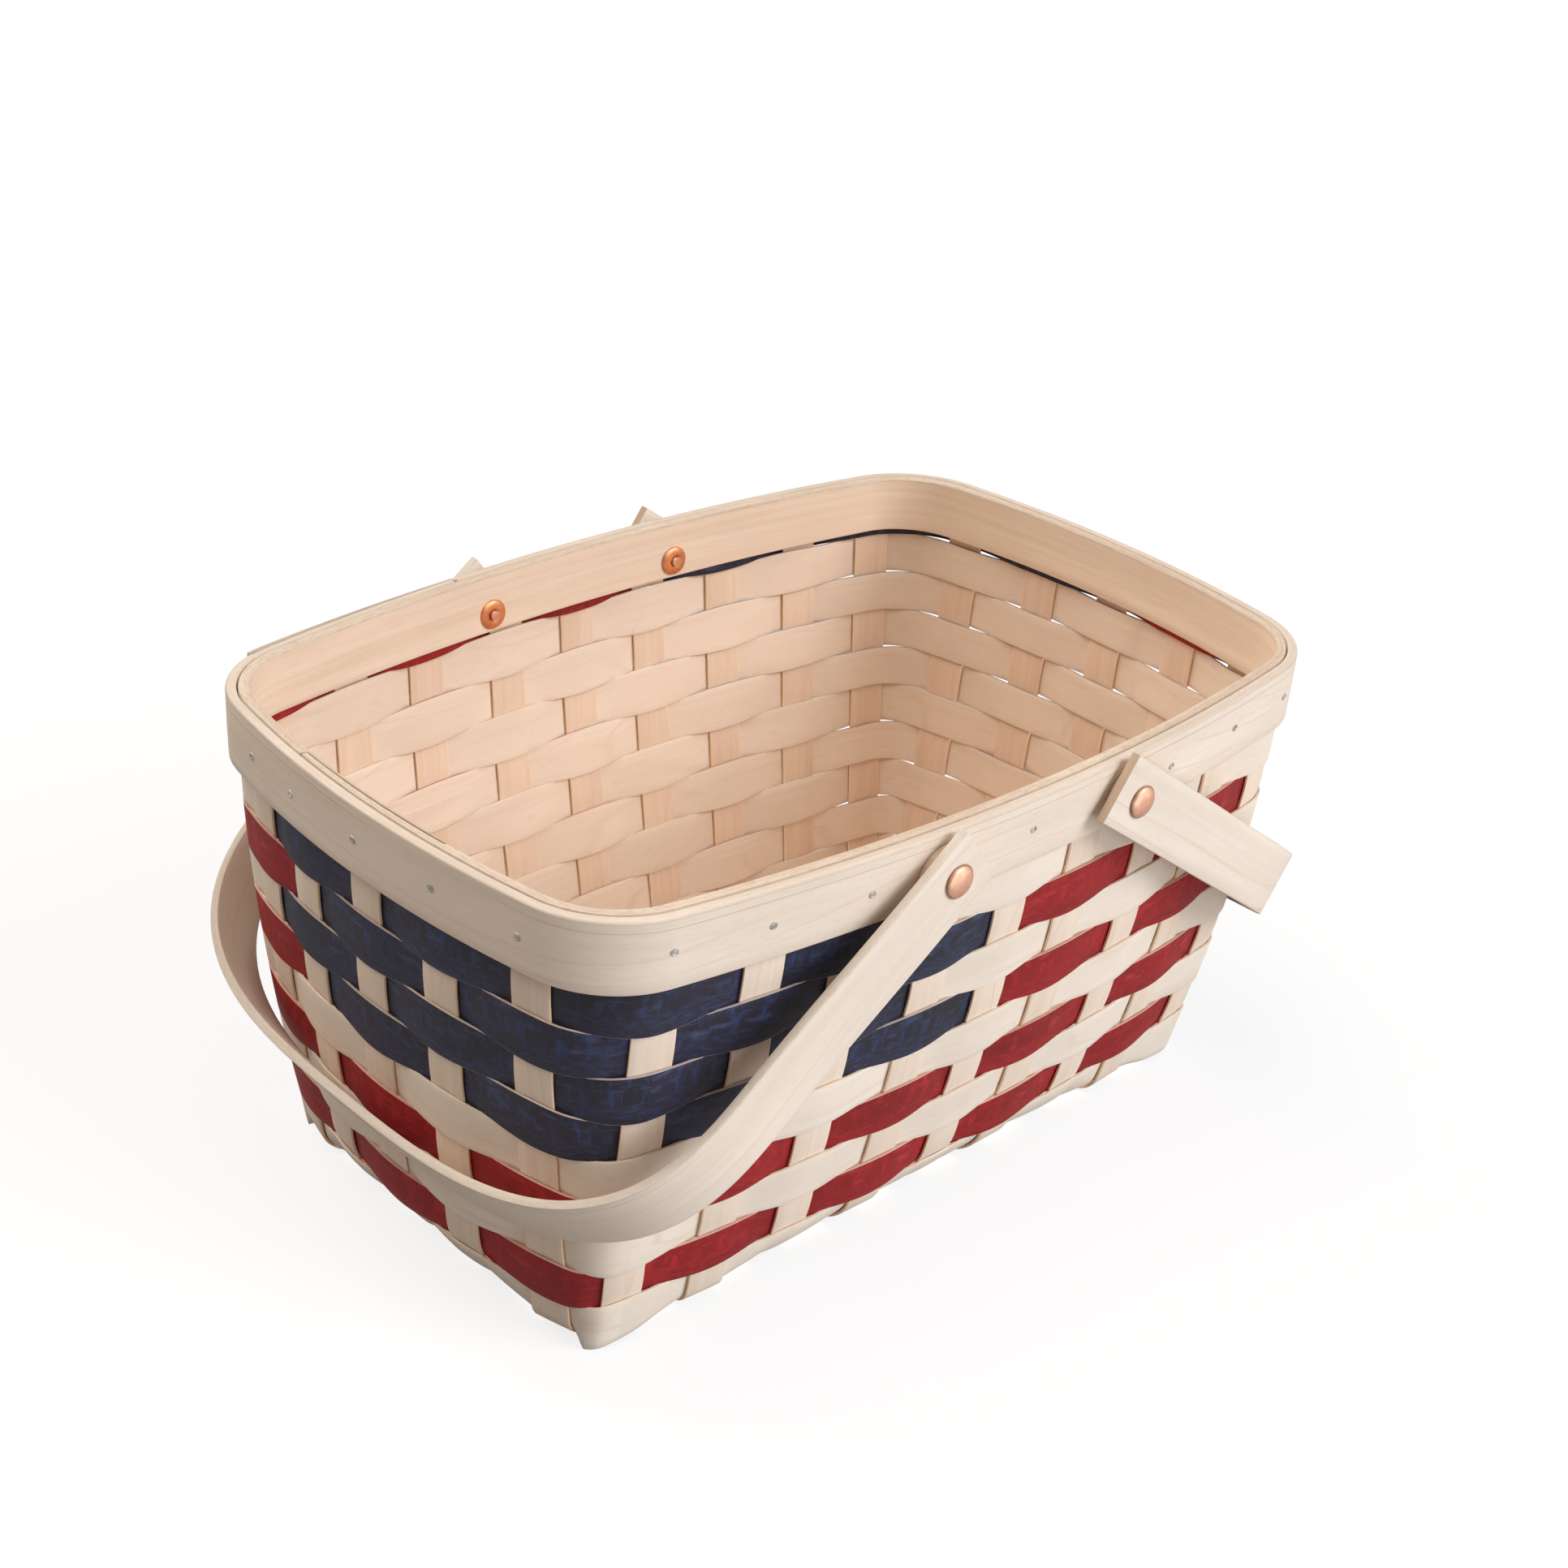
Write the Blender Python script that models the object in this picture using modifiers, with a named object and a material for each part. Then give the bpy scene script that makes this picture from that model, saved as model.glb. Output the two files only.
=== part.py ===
"""Splint market basket with two swing handles.

The frame is in metres with +Z up.  +X runs along the long side, the front long side faces -Y,
and the origin is on the underside of the base, at the centre of its middle crossing.
"""
import math

import bmesh
import bpy
import numpy as np

# Overall size.  The wall is described by the mid-surface of its upright splints.
HEIGHT = 0.222
RIM_HALF_LENGTH = 0.220
RIM_HALF_WIDTH = 0.147
RIM_CORNER_RADIUS = 0.045
RIM_BOW_LONG = 0.1775
RIM_BOW_SHORT = 0.1735
BASE_HALF_LENGTH = 0.199
BASE_HALF_WIDTH = 0.110
BASE_CORNER_RADIUS = 0.010
BASE_BOW_LONG = 0.094
BASE_BOW_SHORT = 0.300
BELLY_LENGTH = 0.0046
BELLY_WIDTH = 0.0057

# Splints.
UPRIGHT_WIDTH = 0.0190
UPRIGHT_THICKNESS = 0.0013
WEAVER_THICKNESS = 0.0011
GAP = 0.0003
WEAVE_GAP = 0.0004
EDGE_GAP = 0.0004
BASE_FLAT_MARGIN = 0.0008
BEND_CLEAR = 0.0010
UPRIGHT_TOP_BELOW_RIM = 0.0030
LONG_SIDE_COUNT = 9
SHORT_SIDE_COUNT = 5
LONG_PITCH_RIM = 0.0446
LONG_PITCH_BASE = 0.0423
SHORT_PITCH_RIM = 0.0446
SHORT_PITCH_BASE = 0.0416
PITCH_BELLY = 0.0012

# How far each upright stands from its even place at the rim, going round the basket from the
# front left corner: front, right end, back, left end.  The base is set more evenly.
BASE_SET_SHARE = 0.4
FRONT_SET = (0.0, 0.0014, -0.0009, 0.0028, -0.0016, -0.0049, 0.0, 0.0016, 0.0)
RIGHT_SET = (0.0, -0.0035, -0.0024, -0.0025, 0.0006)
BACK_SET = (-0.0022, -0.0025, 0.0007, 0.0007, -0.0008, -0.0036, -0.0006, -0.0023, 0.0)
LEFT_SET = (0.0082, -0.0009, 0.0, -0.0004, 0.0036)

# Rows of weaving.  Row 0 is held inside the rim.
ROW_COUNT = 10
FIRST_BENT_ROW = 8
ROWS_START_BELOW_RIM = 0.0314
BOTTOM_ROW_EDGE = 0.0033

# Radius with which each upright turns under into the base, from the corner to the middle of
# its side, and the tight turn of the corner itself.
LONG_SIDE_BENDS = (0.0055, 0.0095, 0.0250, 0.0230, 0.0310)
SHORT_SIDE_BENDS = (0.0120, 0.0320, 0.0340)
CORNER_BEND = 0.0050

# The bottom row folds down to a tip under each corner: how far its lower edge drops, and over
# how many pitches it comes back up along the end and along the long side.
TIP_DROP = 0.0045
TIP_ALONG_END = 0.26
TIP_ALONG_SIDE = 1.0

# Rim bands.
OUTER_BAND_HEIGHT = 0.0314
INNER_BAND_HEIGHT = 0.0275
OUTER_BAND_THICKNESS = 0.0024
INNER_BAND_THICKNESS = 0.0027
BAND_BEVEL = 0.0008
BAND_TIP = 0.0008
OUTER_LAP_START = 20.6
OUTER_LAP_END = 23.1
OUTER_LAP_PROUD = 0.0018
INNER_LAP_START = 25.0
INNER_LAP_END = 27.0

# Swing handles: a bent strap whose arms turn on rivets through the long sides.  The two are
# bent by hand, so each has its own reach, span and hang.
PIVOT_Z = 0.2035
PIVOT_Y = 0.1558
HANDLE_WIDTH = 0.0317
HANDLE_THICKNESS = 0.0040
LEFT_HANDLE = {
    "pivot_x": -0.0528, "turn": math.pi, "hang": math.radians(37.0), "end": 0.0145,
    "arm": 0.1130, "reach": 0.2131, "half_span": 0.1534, "power": 2.95,
}
RIGHT_HANDLE = {
    "pivot_x": 0.0562, "turn": 0.0, "hang": math.radians(35.2), "end": 0.0175,
    "arm": 0.1209, "reach": 0.2090, "half_span": 0.1490, "power": 2.70,
}

# Copper rivets, their burrs and the wooden spacers under the handle ends.
SHANK_RADIUS = 0.0022
HOLE_RADIUS = 0.0025
HEAD_RADIUS = 0.0073
HEAD_RIM = 0.0007
HEAD_DOME = 0.0018
BURR_RADIUS = 0.0070
BURR_THICKNESS = 0.0014
SHANK_PROUD = 0.0016
SPACER_RADIUS = 0.0140
ROUND_STEPS = 16
SHARP_ANGLE = math.radians(35)
CORNER_STEPS = 4

UPRIGHT_COUNT = 2 * (LONG_SIDE_COUNT + SHORT_SIDE_COUNT)
SETS = np.array(FRONT_SET + RIGHT_SET + BACK_SET + LEFT_SET)
SIDE_COUNTS = (LONG_SIDE_COUNT, SHORT_SIDE_COUNT, LONG_SIDE_COUNT, SHORT_SIDE_COUNT)
SIDE_OF = np.repeat(np.arange(4), SIDE_COUNTS)
PLACE_OF = np.concatenate([np.arange(n) - (n - 1) / 2 for n in SIDE_COUNTS])
LAST_ON_SIDE = tuple(np.cumsum(SIDE_COUNTS))
HALF = 0.22
BASE_MID = UPRIGHT_THICKNESS + GAP / 2
WALL_HEIGHT = HEIGHT - BASE_MID
ROW_PITCH = (HEIGHT - ROWS_START_BELOW_RIM - BOTTOM_ROW_EDGE - BASE_MID) / (ROW_COUNT - 1)
WEAVE_OFFSET = UPRIGHT_THICKNESS / 2 + WEAVE_GAP + WEAVER_THICKNESS / 2
CROSSING_HALF = UPRIGHT_WIDTH / 2 + BASE_FLAT_MARGIN
BAND_INSIDE = WEAVE_OFFSET + WEAVER_THICKNESS / 2 + GAP
OUTER_FACE = BAND_INSIDE + OUTER_BAND_THICKNESS
INNER_FACE = -BAND_INSIDE - INNER_BAND_THICKNESS

WOOD = (0.72, 0.58, 0.42)
RIM_WOOD = (0.70, 0.58, 0.43)
RED = (0.30, 0.025, 0.025)
NAVY = (0.025, 0.035, 0.075)
COPPER = (0.80, 0.40, 0.27)

# Stain on the outer face of each row: the main colour, then the canton colour that wraps the
# front left and back right corners, and the uprights that the canton spans there.
ROW_STAIN = ("red", "wood", "red", "wood", "red", "wood", "red", "wood", "red", "wood")
CANTON_ROWS = (1, 2, 3, 4)
CANTON_FROM = (24, 25)
CANTON_TO = (4, 5)


def new_material(name, colour, roughness=0.6, metallic=0.0):
    """A plain finish for one kind of surface."""
    material = bpy.data.materials.new(name)
    material.use_nodes = True
    shader = material.node_tree.nodes["Principled BSDF"]
    shader.inputs["Base Color"].default_value = (*colour, 1.0)
    shader.inputs["Roughness"].default_value = roughness
    shader.inputs["Metallic"].default_value = metallic
    return material


def new_collection(name):
    """A collection under the scene."""
    collection = bpy.data.collections.new(name)
    bpy.context.scene.collection.children.link(collection)
    return collection


def blend(low, high, height, belly=0.0):
    """Straight taper from the base value to the rim value, plus a belly at mid height."""
    t = height / WALL_HEIGHT
    return low + (high - low) * t + belly * 4 * t * (1 - t)


def outline_arcs(z):
    """Half-length, half-width, corner radius and the two bow angles and radii at a height.

    The outline is a rounded rectangle with bowed sides: each quarter is a short-side arc, a
    corner arc and a long-side arc that meet without a kink, which gives two linear equations
    for the two bow radii.
    """
    a = blend(BASE_HALF_LENGTH, RIM_HALF_LENGTH, z, BELLY_LENGTH)
    b = blend(BASE_HALF_WIDTH, RIM_HALF_WIDTH, z, BELLY_WIDTH)
    r = blend(BASE_CORNER_RADIUS, RIM_CORNER_RADIUS, z)
    long_bow = blend(BASE_BOW_LONG, RIM_BOW_LONG, z)
    short_bow = blend(BASE_BOW_SHORT, RIM_BOW_SHORT, z)
    m11 = np.sin(long_bow)
    m12 = 1 - np.cos(short_bow)
    m21 = 1 - np.cos(long_bow)
    m22 = np.sin(short_bow)
    r1 = a + r * (np.sin(long_bow) - np.cos(short_bow))
    r2 = b + r * (np.sin(short_bow) - np.cos(long_bow))
    det = m11 * m22 - m12 * m21
    long_radius = (r1 * m22 - m12 * r2) / det
    short_radius = (m11 * r2 - m21 * r1) / det
    return a, b, r, long_bow, short_bow, long_radius, short_radius


def quarter_lengths(arcs):
    """Lengths of the short-side, corner and long-side arcs of one quarter."""
    _, _, r, long_bow, short_bow, long_radius, short_radius = arcs
    return short_radius * short_bow, r * (math.pi / 2 - long_bow - short_bow), long_radius * long_bow


def outline(z, ell, offset):
    """Point and outward normal at the distance ell round the outline, moved out by offset."""
    arcs = outline_arcs(z)
    a, b, r, long_bow, short_bow, long_radius, short_radius = arcs
    short, corner, long = quarter_lengths(arcs)
    quarter = short + corner + long
    ell = np.mod(ell, 4 * quarter)
    quad = np.minimum(np.floor(ell / quarter), 3)
    m = ell - quad * quarter
    m = np.where(quad % 2 == 1, quarter - m, m)
    on_short = m < short
    on_long = m > short + corner
    t = np.where(on_short, m / short_radius, short_bow + (m - short) / r)
    t = np.where(on_long, math.pi / 2 - (quarter - m) / long_radius, t)
    cx = np.where(on_short, a - short_radius, a - short_radius + (short_radius - r) * np.cos(short_bow))
    cx = np.where(on_long, 0.0, cx)
    cy = np.where(on_short, 0.0, (short_radius - r) * np.sin(short_bow))
    cy = np.where(on_long, b - long_radius, cy)
    radius = np.where(on_short, short_radius, np.where(on_long, long_radius, r)) + offset
    sx = np.where((quad == 0) | (quad == 3), 1.0, -1.0)
    sy = np.where(quad < 2, 1.0, -1.0)
    nx, ny = sx * np.cos(t), sy * np.sin(t)
    return sx * cx + radius * nx, sy * cy + radius * ny, nx, ny


def arc_to(c, bow, radius, r):
    """Distance along a side from its middle to the place with the straight coordinate c."""
    reach = radius * np.sin(bow)
    side = radius * np.arcsin(np.clip(np.abs(c) / radius, 0, np.sin(bow)))
    corner_centre = (radius - r) * np.sin(bow)
    turn = np.arcsin(np.clip((np.abs(c) - corner_centre) / r, -1, 1))
    return np.sign(c) * np.where(np.abs(c) > reach, radius * bow + r * (turn - bow), side)


def station(k, z):
    """Distance round the outline to the middle of upright k, counted from 1."""
    turns, index = np.divmod(np.asarray(k, int) - 1, UPRIGHT_COUNT)
    arcs = outline_arcs(z)
    _, _, r, long_bow, short_bow, long_radius, short_radius = arcs
    quarter = sum(quarter_lengths(arcs))
    side = SIDE_OF[index]
    on_long = side % 2 == 0
    low = np.where(on_long, LONG_PITCH_BASE, SHORT_PITCH_BASE)
    high = np.where(on_long, LONG_PITCH_RIM, SHORT_PITCH_RIM)
    c = PLACE_OF[index] * blend(low, high, z, PITCH_BELLY)
    c = c + SETS[index] * blend(BASE_SET_SHARE, 1.0, z)
    bow = np.where(on_long, long_bow, short_bow)
    radius = np.where(on_long, long_radius, short_radius)
    return (3 + side + 4 * turns) * quarter + arc_to(c, bow, radius, r)


def round_distance(u, z):
    """Distance round the outline for the ring coordinate u.

    u counts uprights: the upright k spans k - HALF to k + HALF, and the gap to the next
    upright takes up the rest of the step.
    """
    k = np.floor(u + HALF)
    across = np.clip((u - k) / HALF, -1, 1)
    here = station(k, z) + across * UPRIGHT_WIDTH / 2
    gap = np.clip((u - k - HALF) / (1 - 2 * HALF), 0, 1)
    there = station(k + 1, z) - UPRIGHT_WIDTH / 2
    return np.where(gap > 0, here + (there - here) * gap, here)


def upright_bend(k):
    """Radius of the bend at the foot of upright k, counted from 1."""
    index = (k - 1) % UPRIGHT_COUNT
    side = SIDE_OF[index]
    from_corner = int((SIDE_COUNTS[side] - 1) / 2 - abs(PLACE_OF[index]))
    return (SHORT_SIDE_BENDS if side % 2 else LONG_SIDE_BENDS)[from_corner]


def bend_knots():
    """Ring coordinates, and the bend radii there, between which the radius changes evenly."""
    knots, values = [], []
    for k in range(0, UPRIGHT_COUNT + 2):
        knots += [k - HALF, k + HALF]
        values += [upright_bend(k)] * 2
        if (k - 1) % UPRIGHT_COUNT + 1 in LAST_ON_SIDE:
            knots.append(k + 0.5)
            values.append(CORNER_BEND)
    return knots, values


def bend_radius(u):
    """Radius with which the wall turns under into the base: wide on the sides, tight at corners."""
    wrapped = np.mod(np.asarray(u, float) - 0.5, UPRIGHT_COUNT) + 0.5
    return np.interp(wrapped, *bend_knots())


def wall(u, h, offset):
    """Point of the wall at ring coordinate u and unrolled height h, moved out along its normal.

    Above the bend h is the height.  Below it h goes on down round the bend: the surface turns
    through q, dropping by R(1 - sin q) and drawing in by R(1 - cos q).
    """
    u, h, offset = np.broadcast_arrays(np.asarray(u, float), h, offset)
    radius = bend_radius(u)
    q = np.clip((radius - h) / radius, 0, math.pi / 2)
    z = np.where(h > radius, h, radius * (1 - np.sin(q)))
    drawn_in = radius * (1 - np.cos(q))
    ell = round_distance(u, z)
    _, _, nx, ny = outline(z, ell, 0.0)
    t = z / WALL_HEIGHT
    slope_x = (RIM_HALF_LENGTH - BASE_HALF_LENGTH + 4 * BELLY_LENGTH * (1 - 2 * t)) / WALL_HEIGHT
    slope_y = (RIM_HALF_WIDTH - BASE_HALF_WIDTH + 4 * BELLY_WIDTH * (1 - 2 * t)) / WALL_HEIGHT
    slope = slope_x * nx ** 2 + slope_y * ny ** 2
    out = np.cos(q)
    down = np.sin(q) + slope * np.cos(q)
    size = np.hypot(out, down)
    x, y, _, _ = outline(z, ell, offset * out / size - drawn_in)
    return np.stack([x, y, z + BASE_MID - offset * down / size], -1)


def weave_side(u, row):
    """+1 where the row passes outside the uprights, -1 inside, with a half wave in each gap."""
    k = np.floor(u + HALF)
    gap = np.clip((u - k - HALF) / (1 - 2 * HALF), 0, 1)
    return np.where((k + row) % 2 == 0, 1.0, -1.0) * np.cos(math.pi * gap)


def row_edges(row):
    """Unrolled heights of the top and bottom edge of a row."""
    top = WALL_HEIGHT - ROWS_START_BELOW_RIM - (row - 1) * ROW_PITCH
    return top - EDGE_GAP / 2, top - ROW_PITCH + EDGE_GAP / 2


def row_heights(row):
    """Unrolled heights of a row's edges, with its middle in the two rows that bend."""
    top, bottom = row_edges(row)
    if row >= FIRST_BENT_ROW:
        return [top, (top + bottom) / 2, bottom]
    return [top, bottom]


def smooth(mesh):
    """Smooth shading on the bent faces, with the splints' square edges kept sharp."""
    mesh.shade_smooth()
    mesh.set_sharp_from_angle(angle=SHARP_ANGLE)


def loft(name, sections, material, closed=False):
    """One closed body through rings of corners; closed joins the last ring to the first."""
    sections = np.asarray(sections)
    rings, corners, _ = sections.shape
    mesh = bpy.data.meshes.new(name)
    bm = bmesh.new()
    grid = [[bm.verts.new(point) for point in ring] for ring in sections.tolist()]
    for i in range(rings if closed else rings - 1):
        here, there = grid[i], grid[(i + 1) % rings]
        for j in range(corners):
            n = (j + 1) % corners
            bm.faces.new((here[j], here[n], there[n], there[j]))
    if not closed:
        bm.faces.new(grid[0])
        bm.faces.new(grid[-1])
    bmesh.ops.recalc_face_normals(bm, faces=bm.faces)
    bm.to_mesh(mesh)
    bm.free()
    smooth(mesh)
    mesh.materials.append(material)
    obj = bpy.data.objects.new(name, mesh)
    PARTS.objects.link(obj)
    return obj


def ring_coordinates():
    """Ring coordinates of a weaver's sections: both edges of each upright, and round corners."""
    steps = []
    for k in range(1, UPRIGHT_COUNT + 1):
        steps += [k - HALF, k + HALF]
        if k in LAST_ON_SIDE:
            steps += list(np.linspace(k + HALF, k + 1 - HALF, CORNER_STEPS + 2)[1:-1])
    return np.array(steps)


def tip_share(u):
    """1 under a corner of the basket, falling to 0 along the end and the long side beside it."""
    share = np.zeros(len(u))
    towards_long_side = -1
    for last in LAST_ON_SIDE:
        half_round = UPRIGHT_COUNT / 2
        far = towards_long_side * (np.mod(u - last - 0.5 + half_round, UPRIGHT_COUNT) - half_round)
        rise = np.where(far > 0, far / TIP_ALONG_SIDE, -far / TIP_ALONG_END)
        share = np.maximum(share, 1 - rise)
        towards_long_side = -towards_long_side
    return share


def row_colour(row, u):
    """Stain of the row's outer face at ring coordinate u."""
    if row in CANTON_ROWS:
        start = CANTON_FROM[1 - row % 2]
        end = CANTON_TO[1 - row % 2]
        near = u % UPRIGHT_COUNT
        opposite = (u + UPRIGHT_COUNT / 2) % UPRIGHT_COUNT
        for place in (near, opposite):
            if place > start or place < end:
                return "navy"
    return ROW_STAIN[row]


def build_weaver(row):
    """One ring of splint that goes in front of and behind the uprights by turns."""
    u = ring_coordinates()
    heights = row_heights(row)
    middle = WEAVE_OFFSET * weave_side(u, row)
    outer = [wall(u, h, middle + WEAVER_THICKNESS / 2) for h in reversed(heights)]
    inner = [wall(u, h, middle - WEAVER_THICKNESS / 2) for h in heights]
    sections = np.stack(outer + inner, 1)
    if row == ROW_COUNT - 1:
        low = (heights[0] - np.array(heights[::-1] + heights)) / (heights[0] - heights[-1])
        sections[:, :, 2] -= TIP_DROP * tip_share(u)[:, None] * low ** 2
    obj = loft(f"weaver_row_{row}", sections, MATERIALS["wood"], closed=True)
    stains = {}
    for colour in ("red", "navy"):
        obj.data.materials.append(MATERIALS[colour])
        stains[colour] = len(obj.data.materials) - 1
    count = len(heights)
    stained = range(count - 1) if row > 0 else range(count, 2 * count - 1)
    for polygon in obj.data.polygons:
        section, corner = divmod(polygon.index, 2 * count)
        if corner in stained:
            polygon.material_index = stains.get(row_colour(row, u[section] + 0.1), 0)
    return obj


def foot(k):
    """Where the middle of upright k would meet the floor without its bend, in plan."""
    return np.array(outline(0.0, station(k, 0.0), 0.0)[:2])


def meeting(ends, other_ends):
    """Where the middle lines of two splints cross on the base, in plan."""
    first, last = (foot(k) for k in ends)
    other_first, other_last = (foot(k) for k in other_ends)
    sides = np.stack([last - first, other_first - other_last], -1)
    return first + (last - first) * np.linalg.solve(sides, other_first - first)[0]


def base_rise(ends, axis, place):
    """Height of the base along a splint, where the bends at its two ends still lift it."""
    rise = 0.0
    for k in ends:
        radius = upright_bend(k)
        short = max(radius - abs(place - foot(k)[axis]), 0.0)
        rise += radius - math.sqrt(radius ** 2 - short ** 2)
    return rise


def crossing_plane(cross, long):
    """Middle point and the slopes along X and Y of the plane in which two splints cross."""
    ends = (long_ends(long), cross_ends(cross))
    middle = meeting(cross_ends(cross), long_ends(long))
    slopes, height = [], BASE_MID
    for axis in (0, 1):
        low, high = (base_rise(ends[axis], axis, middle[axis] + d) for d in (-CROSSING_HALF, CROSSING_HALF))
        slopes.append((high - low) / (2 * CROSSING_HALF))
        height += (high + low) / 2
    return np.array([*middle, height]), slopes


def crossing_sections(plane, axis, low):
    """A splint's two sections at a crossing, flat on the under or the upper side of its plane.

    Both splints keep to the same plane, half of their joint thickness below and above it, so
    that they lie flat on each other also where the base rises towards the bends.
    """
    middle, slopes = plane
    normal = np.array([-slopes[0], -slopes[1], 1.0])
    normal /= np.linalg.norm(normal)
    across = np.zeros(3)
    across[1 - axis] = 1.0
    across[2] = slopes[1 - axis]
    across *= UPRIGHT_WIDTH / 2 / np.linalg.norm(across)
    along = np.zeros(3)
    along[axis] = CROSSING_HALF
    along[2] = slopes[axis] * CROSSING_HALF
    layer = (-1 if low else 1) * (UPRIGHT_THICKNESS + GAP) / 2
    sections = []
    for step in (-along, along):
        corners = []
        for side, face in ((-1, -1), (1, -1), (1, 1), (-1, 1)):
            offset = layer + face * UPRIGHT_THICKNESS / 2
            corners.append(middle + step + side * across + offset * normal)
        sections.append(corners)
    return sections


def bend_end(k, first_crossing, axis):
    """Unrolled height where upright k's bend ends: at the floor, or just before a crossing."""
    radius = upright_bend(k)
    room = abs(first_crossing - foot(k)[axis]) - CROSSING_HALF - BEND_CLEAR
    turn = math.acos(max(1 - room / radius, 0.0))
    return radius * (1 - turn)


def wall_sections(k, low_edge, end):
    """Four-cornered sections of upright k down its wall and round its bend, top first.

    low_edge is the edge listed first.  The sections stand at the edges of the rows, so that the
    facets of uprights and weavers run side by side.
    """
    heights = [WALL_HEIGHT - UPRIGHT_TOP_BELOW_RIM]
    heights += [row_edges(row)[0] for row in range(1, FIRST_BENT_ROW, 2)]
    for row in range(FIRST_BENT_ROW, ROW_COUNT):
        heights += row_heights(row)[:2]
    last = row_edges(ROW_COUNT - 1)[1]
    heights += [last, (last + end) / 2, end]
    edges = np.array([k + low_edge * HALF, k - low_edge * HALF])
    sections = []
    for h in heights:
        outer = wall(edges, h, UPRIGHT_THICKNESS / 2)
        inner = wall(edges, h, -UPRIGHT_THICKNESS / 2)
        sections.append([outer[0], outer[1], inner[1], inner[0]])
    return sections


def build_splint(name, ends, axis, planes, first_is_low):
    """A splint that runs down one wall, across the base and up the opposite wall."""
    low_edge = -1 if axis == 1 else 1
    sections = wall_sections(ends[0], low_edge, bend_end(ends[0], planes[0][0][axis], axis))
    for number, plane in enumerate(planes):
        sections += crossing_sections(plane, axis, first_is_low == (number % 2 == 0))
    up = wall_sections(ends[1], -low_edge, bend_end(ends[1], planes[-1][0][axis], axis))
    return loft(name, sections + up[::-1], MATERIALS["wood"])


def cross_ends(n):
    """Uprights at the front and back of the crosswise splint n, counted from the left."""
    return n, 2 * LONG_SIDE_COUNT + SHORT_SIDE_COUNT + 1 - n


def long_ends(n):
    """Uprights at the left and right of the lengthwise splint n, counted from the front."""
    return UPRIGHT_COUNT + 1 - n, LONG_SIDE_COUNT + n


def build_splints():
    """Nine crosswise and five lengthwise splints in a plain weave."""
    splints = []
    cross_numbers = range(1, LONG_SIDE_COUNT + 1)
    long_numbers = range(1, SHORT_SIDE_COUNT + 1)
    for n in cross_numbers:
        planes = [crossing_plane(n, m) for m in long_numbers]
        splints.append(build_splint(f"cross_splint_{n}", cross_ends(n), 1, planes, n % 2 == 1))
    for m in long_numbers:
        planes = [crossing_plane(n, m) for n in cross_numbers]
        splints.append(build_splint(f"long_splint_{m}", long_ends(m), 0, planes, m % 2 == 0))
    return splints


def band_section(u, height, near, far):
    """Corners of a band's section between two offsets from the wall, bevelled on its far face."""
    top, bottom = WALL_HEIGHT, WALL_HEIGHT - height
    edge = far - np.sign(far - near) * np.minimum(BAND_BEVEL, np.abs(far - near) / 2)
    places = [(top, near), (top, edge), (top - BAND_BEVEL, far), (bottom, far), (bottom, near)]
    return np.stack([wall(u, h, offset) for h, offset in places], -2)


def build_band(name, height, inside, outside, lap, proud):
    """A bent strip round the rim, its two ends scarfed over each other.

    In the lap the two ends share the thickness along a slanting line, and the end on top may
    stand proud of the band.
    """
    start, end = lap
    ring = ring_coordinates()
    lap_steps = np.linspace(start, end, 6)
    twice = np.concatenate([ring, ring + UPRIGHT_COUNT])
    between = twice[(twice > end + 0.05) & (twice < start + UPRIGHT_COUNT - 0.05)]
    share = (lap_steps - start) / (end - start)
    way = 1 if outside > inside else -1
    slant = inside + way * (BAND_TIP + (abs(outside - inside) - GAP - 2 * BAND_TIP) * share)
    whole = np.ones_like(between)
    u = np.concatenate([lap_steps, between, lap_steps + UPRIGHT_COUNT])
    near = np.concatenate([inside + 0 * share, inside * whole, slant + way * (GAP + proud * share)])
    far = np.concatenate([slant, outside * whole, outside + way * proud * share])
    return loft(name, band_section(u, height, near, far), MATERIALS["rim"])


def build_handle(name, shape):
    """A strap bent into a hoop, its arms ending just past the rivets.

    In its own frame the arms run along +X from the pivot axis, which is Y.  Each arm drifts
    gently to the half span, and the end of the hoop is a superellipse quarter and its mirror.
    """
    arm, half_span = shape["arm"], shape["half_span"]
    bow = shape["reach"] - HANDLE_THICKNESS / 2 - arm
    angles = np.linspace(0, math.pi / 2, 13)
    power = 2 / shape["power"]
    arm_x = np.linspace(0, arm, 6)[1:-1]
    arm_y = PIVOT_Y + (half_span - PIVOT_Y) * (1 - np.cos(math.pi * arm_x / arm)) / 2
    x = np.concatenate([[-shape["end"], shape["end"]], arm_x, arm + bow * np.sin(angles) ** power])
    y = np.concatenate([[PIVOT_Y, PIVOT_Y], arm_y, half_span * np.cos(angles) ** power])
    x = np.concatenate([x, x[::-1][1:]])
    y = np.concatenate([y, -y[::-1][1:]])
    dx, dy = np.gradient(x), np.gradient(y)
    size = np.hypot(dx, dy)
    nx, ny = -dy / size, dx / size
    sections = []
    for off, rise in ((1, -1), (1, 1), (-1, 1), (-1, -1)):
        out = off * HANDLE_THICKNESS / 2
        level = np.full_like(x, rise * HANDLE_WIDTH / 2)
        sections.append(np.stack([x + nx * out, y + ny * out, level], -1))
    obj = loft(name, np.stack(sections, 1), MATERIALS["rim"])
    obj.location = (shape["pivot_x"], 0.0, PIVOT_Z)
    obj.rotation_euler = (0.0, shape["hang"], shape["turn"])
    return obj


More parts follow.
